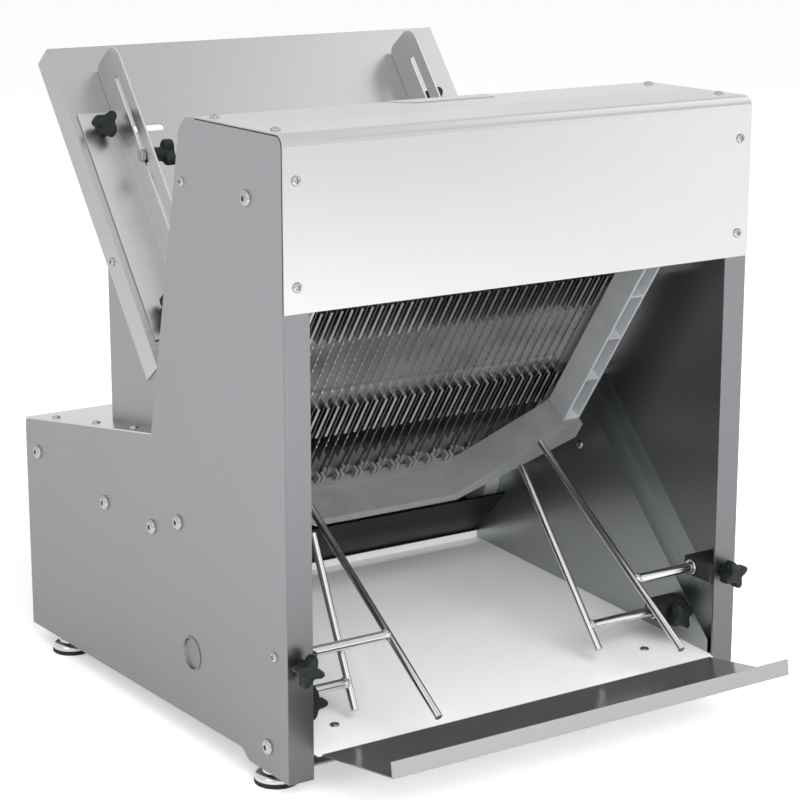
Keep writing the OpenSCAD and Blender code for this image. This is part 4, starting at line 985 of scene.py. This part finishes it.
@dataclass
class PullTab:
    """Folded finger tab on the rear edge of the hood's top, in millimetres."""

    half_w: float = 62.0
    front_y: float = 138.0
    left_slant: float = 20.0
    right_slant: float = 20.0 / 3
    thick: float = 0.9
    edge: float = 0.25

    def build(self) -> None:
        """Builds the tab with rounded edges."""
        shape = bmesh.new()
        corners = ((-self.half_w, HOOD_D), (self.half_w, HOOD_D),
                   (self.half_w - self.right_slant, self.front_y),
                   (-self.half_w + self.left_slant, self.front_y))
        face = shape.faces.new([shape.verts.new(spot(x, y, TOWER_H + SKIN)) for x, y in corners])
        grown = bmesh.ops.extrude_face_region(shape, geom=[face])["geom"]
        for vert in (g for g in grown if isinstance(g, BMVert)):
            vert.co.z += self.thick * MM
        bmesh.ops.bevel(shape, geom=shape.edges[:], offset=self.edge * MM, segments=2, profile=0.7,
                        affect="EDGES")
        make_piece("hood_pull_tab", shape, TAB, "housing", smooth=35.0)


@dataclass
class HoodSeam:
    """Dark strip of painted shadow along the gap where the hood closes on a side panel, in millimetres."""

    corner: float = 10.0
    wide: float = 1.3
    proud: float = 0.15
    steps: int = 10

    def path(self, inset: float) -> list[tuple[float, float]]:
        """Gives the panel's edge under the hood.

        Args:
            inset: Distance inside the edge.

        Returns:
            Points of depth and height, from the hood's lower edge to its rear end.
        """
        radius, middle = self.corner - inset, TOWER_H - self.corner
        turns = [math.radians(180.0 - 90.0 * i / self.steps) for i in range(self.steps + 1)]
        bend = [(self.corner + radius * math.cos(t), middle + radius * math.sin(t)) for t in turns]
        return [(inset, HOOD_Z), *bend, (HOOD_D, TOWER_H - inset)]

    def build(self) -> None:
        """Builds the painted-shadow strip on both panels."""
        shape = bmesh.new()
        low, high = HALF_W - self.proud, HALF_W + self.proud
        for side in SIDES.values():
            rows = []
            for edge, inner in zip(self.path(0.0), self.path(self.wide)):
                corners = ((low, edge), (high, edge), (high, inner), (low, inner))
                rows.append([shape.verts.new(spot(side * x, y, z)) for x, (y, z) in corners])
            join_rows(shape, rows)
            shape.faces.new(rows[0])
            shape.faces.new(rows[-1])
        # Painted shadow: a thin black strip stands in for the shade in the gap between hood and panel
        make_piece("hood_gap_painted_shadow", shape, NYLON, "housing", smooth=35.0)


@dataclass
class CornerCaps:
    """Folded caps that close the rear corners under the cover, in millimetres."""

    near_x: float = 252.2
    far_x: float = 279.8
    fold: Profile = ((571.8, 231.0), (571.8, 240.4), (571.1, 241.9), (569.6, 242.8), (562.0, 244.1),
                     (562.0, 242.7), (569.3, 241.4), (570.4, 240.1), (570.4, 231.0))

    def build(self) -> None:
        """Builds one cap on each side."""
        shape = bmesh.new()
        for side in SIDES.values():
            ends = [[shape.verts.new(spot(side * x, y, z)) for y, z in self.fold]
                    for x in (self.near_x, self.far_x)]
            join_rows(shape, ends)
            for end in ends:
                shape.faces.new(end)
        make_piece("rear_corner_caps", shape, PANEL, "housing", smooth=50.0)


@dataclass
class HolePlug:
    """Dished plug in the left panel, in millimetres."""

    y: float = 190.0
    z: float = 77.0
    steps: int = 72
    dish: Profile = ((16.0, -3.4), (18.3, 0.0), (18.4, 0.5), (17.9, 1.1), (17.0, 1.3), (16.3, 1.0),
                     (15.9, 0.2), (15.2, -2.2), (13.8, -2.9), (6.0, -3.1), (0.0, -3.1))

    def build(self) -> None:
        """Builds the dish in the place of the plain plug."""
        shape = bmesh.new()
        lathe(shape, self.dish, seat_at(spot(-HALF_W, self.y, self.z), (-1.0, 0.0, 0.0)), self.steps)
        make_piece("hole_plug_dish", shape, PANEL, "housing", ["hole_plug"])


@dataclass
class Housing:
    """Folded sheets of the body, with the places of the feet in millimetres."""

    foot_x: float = 263.0
    foot_rows: tuple[tuple[str, float], ...] = (("front", 52.0), ("rear", 505.0))

    def build(self) -> None:
        """Dresses the sheets and adds the fasteners and feet."""
        PullTab().build()
        dress(["left_panel", "right_panel", "base_plate", "hopper_gussets"], PANEL)
        dress(["rear_panel"], REAR)
        dress(["front_hood", "rear_cover"], HOOD)
        dress(["inner_wall_left", "inner_wall_right"], INNER)
        dress(["drive_cover"], SHADE)
        dress(["chute_tray"], TRAY)
        dress(["switch_plate", "cable_gland", "clamp_blocks"], NYLON)
        dress(["start_button"], GREEN)
        dress(["stop_button"], RED)
        HoodSeam().build()
        CornerCaps().build()
        HolePlug().build()
        Fasteners().build()
        for depth, y in self.foot_rows:
            for side, sign in SIDES.items():
                LevellingFoot(f"foot_{depth}_{side}", sign * self.foot_x, y).build()


@dataclass
class Hopper:
    """Sloped plate with its two bread fences and their knobs, in millimetres."""

    faces: dict[str, float] = field(default_factory=lambda: {"left": 200.0, "right": 182.0})
    slots: dict[str, float] = field(default_factory=lambda: {"upper": 283.0, "lower": 58.0})
    lobes: int = 3
    knob_d: float = 32.0
    stem_d: float = 6.0
    nut_t: float = 5.0
    base_knob_in: float = 22.0
    wall_knob_s: float = 230.0
    wall_knob_h: float = 35.0
    wall_hub: float = 18.0
    base_turn: float = 0.5
    wall_turn: float = 0.9

    def knob(self, node: str, seat: Point, axis: Point, nut_at: float, turn: float, hub: float = 8.0) -> None:
        """Builds one fence knob, from its node, seat and direction to its nut's place, lobes and hub."""
        tip = nut_at - self.nut_t
        StarKnob(node, seat, axis, self.lobes, self.knob_d, self.stem_d, tip, hub, nut_at, turn).build()

    def build(self) -> None:
        """Dresses the plate and fences, and builds the knobs."""
        dress(["hopper_plate"], PLATE)
        dress(["left_fence", "right_fence"], FENCE)
        up = square_to(HOPPER_SLOPE.tilt)
        grip = SHEET + 2 * SEAT_GAP
        for side, sign in SIDES.items():
            face, name = self.faces[side], f"{side}_fence_knob"
            for level, s in self.slots.items():
                base = HOPPER_SLOPE.spot(sign * (face + self.base_knob_in), s, grip)
                self.knob(f"{name}_{level}", base, up, -grip - SKIN - SEAT_GAP, self.base_turn + s)
            wall = HOPPER_SLOPE.spot(sign * (face - SEAT_GAP), self.wall_knob_s, self.wall_knob_h)
            self.knob(f"{name}_wall", wall, (-sign, 0.0, 0.0), -grip, self.wall_turn * sign, self.wall_hub)


@dataclass
class BladeUnit:
    """The two blade frames with their blades, and the combs between them."""

    def build(self) -> None:
        """Dresses the castings, blades and combs."""
        for place in ("front", "rear"):
            dress([f"{place}_frame_sides"], CASTING)
            dress([f"{place}_upper_beam", f"{place}_lower_beam"], BEAM)
            dress([f"{place}_blades"], BLADE)
        dress(["upper_comb", "lower_comb"], COMB)
        dress(["slide_rails"], NYLON)
        dress(["rail_brackets"], INNER)


@dataclass
class Drive:
    """Motor, belt and crank under the tray."""

    def build(self) -> None:
        """Dresses the drive."""
        dress(["motor"], ENAMEL)
        dress(["drive_belt"], RUBBER)
        dress(["crankshaft", "motor_pulley", "driven_pulley"], MACHINE)
        dress(["crank_bearings", "front_conrod", "rear_conrod"], CASTING)


@dataclass(frozen=True)
class ClampRow:
    """Clamps of an upper or lower pair of guide rods, in millimetres, with the turn of their knobs."""

    name: str
    rod_y: float
    rod_z: float
    bush_x: float
    knob_x: float
    face_y: float
    stem_tip: float
    turn: float
    side_turn: float


UPPER_ROW = ClampRow("upper", rod_y=30.0, rod_z=118.0, bush_x=246.0, knob_x=266.0, face_y=0.0,
                     stem_tip=-24.7, turn=0.0, side_turn=0.35)
LOWER_ROW = ClampRow("lower", rod_y=61.0, rod_z=64.0, bush_x=220.0, knob_x=234.0, face_y=47.0,
                     stem_tip=-8.7, turn=0.2, side_turn=0.3)


@dataclass
class ChuteGuides:
    """Four guide rods and the star knobs that clamp them, in millimetres and degrees.

    Each rod has its clamps, its side, its place in X, its slope, and its reach to the front and to the rear.
    """

    rods: tuple[tuple[ClampRow, str, float, float, float, float], ...] = (
        (UPPER_ROW, "right", 166.0, 34.2, 96.0, 202.0),
        (UPPER_ROW, "left", -146.0, 33.4, 105.0, 172.0),
        (LOWER_ROW, "right", 131.0, 50.2, 28.0, 194.0),
        (LOWER_ROW, "left", -174.0, 64.9, 28.0, 153.0))
    lobes: int = 4
    knob_d: float = 33.0
    stem_d: float = 8.0
    bush: Profile = ((5.6, 0.0), (8.3, 0.0), (8.6, 0.4), (8.6, 2.2), (8.0, 2.8), (6.2, 2.8), (5.6, 2.3),
                     (5.6, 0.0))
    bush_steps: int = 48

    def build(self) -> None:
        """Dresses the rods, and builds their ends, welds, bushes and knobs."""
        for row, side, x, slope, fore, back in self.rods:
            node = f"guide_rod_{row.name}_{side}"
            dress([node], BRIGHT)
            GuideRod(node, x, row.rod_y, row.rod_z, slope, fore, back).build()
        self.bushes()
        for side, sign in SIDES.items():
            for row in (UPPER_ROW, LOWER_ROW):
                seat = spot(sign * row.knob_x, row.face_y - SEAT_GAP, row.rod_z)
                StarKnob(f"clamp_knob_{row.name}_{side}", seat, (0.0, -1.0, 0.0), self.lobes, self.knob_d,
                         self.stem_d, row.stem_tip, turn=row.turn + row.side_turn * sign).build()

    def bushes(self) -> None:
        """Builds the steel bushes that the rods slide in, on the faces of their blocks."""
        shape = bmesh.new()
        for side in SIDES.values():
            for row in (UPPER_ROW, LOWER_ROW):
                seat = seat_at(spot(side * row.bush_x, row.rod_y, row.rod_z), (-side, 0.0, 0.0))
                lathe(shape, self.bush, seat, self.bush_steps)
        bmesh.ops.remove_doubles(shape, verts=shape.verts[:], dist=TINY)
        make_piece("guide_rod_bushes", shape, BRIGHT, "housing")


@dataclass(frozen=True)
class Lamp:
    """A soft square lamp: its place and edge in metres, its power in watts, and whether steel mirrors it."""

    name: str
    place: Point
    size: float
    power: float
    mirrored: bool = True

    def build(self, aim: Point) -> None:
        """Hangs the lamp so that it points at the machine.

        Args:
            aim: Point that it faces.
        """
        light = bpy.data.lights.new(self.name, "AREA")
        light.size, light.energy = self.size, self.power
        holder = link_object(self.name, light)
        holder.location = self.place
        holder.visible_glossy = self.mirrored
        holder.rotation_euler = (Vector(aim) - Vector(self.place)).to_track_quat("-Z", "Y").to_euler()


@dataclass
class Studio:
    """White floor, soft lamps and the camera, in metres and degrees."""

    camera_at: Point = (-1.3482, -2.0213, 0.911)
    camera_turn: Point = (76.17, 0.0, -33.72)
    lens: float = 105.0
    sensor: float = 36.0
    sky: float = 0.6
    floor_half: float = 14.0
    floor_cells: int = 24
    floor_low: Colour = (0.89, 0.89, 0.89)
    floor_high: Colour = (0.92, 0.92, 0.92)
    floor_glow: float = 0.4
    aim: Point = (0.0, 0.0, 0.3)
    lamps: tuple[Lamp, ...] = (
        Lamp("key_lamp", (0.6, -2.6, 2.7), 2.6, 42.0, mirrored=False),
        Lamp("key_shine", (0.6, -2.6, 2.7), 2.6, 9.0),
        Lamp("chute_lamp", (-0.5, -2.4, 1.4), 2.2, 62.0, mirrored=False),
        Lamp("chute_shine", (-0.5, -2.4, 1.6), 2.2, 9.0),
        Lamp("right_lamp", (2.6, -2.2, 0.8), 1.6, 5.0),
        Lamp("left_lamp", (-2.6, -0.6, 1.8), 1.4, 8.0),
        Lamp("top_lamp", (2.0, -0.4, 2.4), 1.4, 4.0))

    def build(self) -> None:
        """Builds the floor, the sky, the lamps and the camera."""
        self.floor()
        self.world()
        for lamp in self.lamps:
            lamp.build(self.aim)
        camera = bpy.data.cameras.new("photo_camera")
        camera.lens, camera.sensor_width = self.lens, self.sensor
        holder = link_object("photo_camera", camera)
        holder.location = self.camera_at
        holder.rotation_euler = [math.radians(a) for a in self.camera_turn]
        bpy.context.scene.camera = holder
        bpy.context.scene.view_settings.view_transform = "Standard"

    def floor(self) -> None:
        """Lays a white floor that takes the machine's shadow."""
        shape = bmesh.new()
        cells = self.floor_cells
        bmesh.ops.create_grid(shape, x_segments=cells, y_segments=cells, size=self.floor_half)
        mesh = bpy.data.meshes.new("studio_floor")
        shape.to_mesh(mesh)
        shape.free()
        material = bpy.data.materials.new("floor_paper")
        sheet = clear_sheet(material)
        coords = sheet.add("TexCoord").outputs["Object"]
        fibre = sheet.add("TexNoise", {"Vector": coords, "Scale": 60.0, "Detail": 4.0}).outputs["Fac"]
        tone = sheet.ramp(fibre, [(0.3, self.floor_low), (0.7, self.floor_high)])
        paper = sheet.add("BsdfPrincipled", {"Base Color": tone, "Roughness": sheet.span(fibre, 0.75, 0.9),
                                             "Specular IOR Level": 0.1, "Emission Color": WHITE,
                                             "Emission Strength": self.floor_glow})
        sheet.add("OutputMaterial", {"Surface": paper.outputs[0]})
        mesh.materials.append(material)
        floor = link_object("studio_floor", mesh)

    def world(self) -> None:
        """Sets a white sky that lights softly and shows white behind the machine."""
        world = bpy.data.worlds.new("studio_sky")
        sheet = clear_sheet(world)
        rays = sheet.add("LightPath").outputs
        mirrored = sheet.math("MAXIMUM", rays["Is Glossy Ray"], rays["Is Transmission Ray"])
        seen = sheet.math("MAXIMUM", rays["Is Camera Ray"], mirrored)
        strength = sheet.span(seen, self.sky, 1.0)
        back = sheet.add("Background", {"Strength": strength, "Color": WHITE})
        sheet.add("OutputWorld", {"Surface": back.outputs[0]})
        bpy.context.scene.world = world


def main() -> None:
    """Builds every sub-assembly in order."""
    logging.basicConfig(level=logging.INFO, format="%(message)s")
    for part in (Housing(), Hopper(), BladeUnit(), Drive(), ChuteGuides(), Studio()):
        part.build()
        LOG.info("built %s", type(part).__name__)


if __name__ == "__main__":
    main()
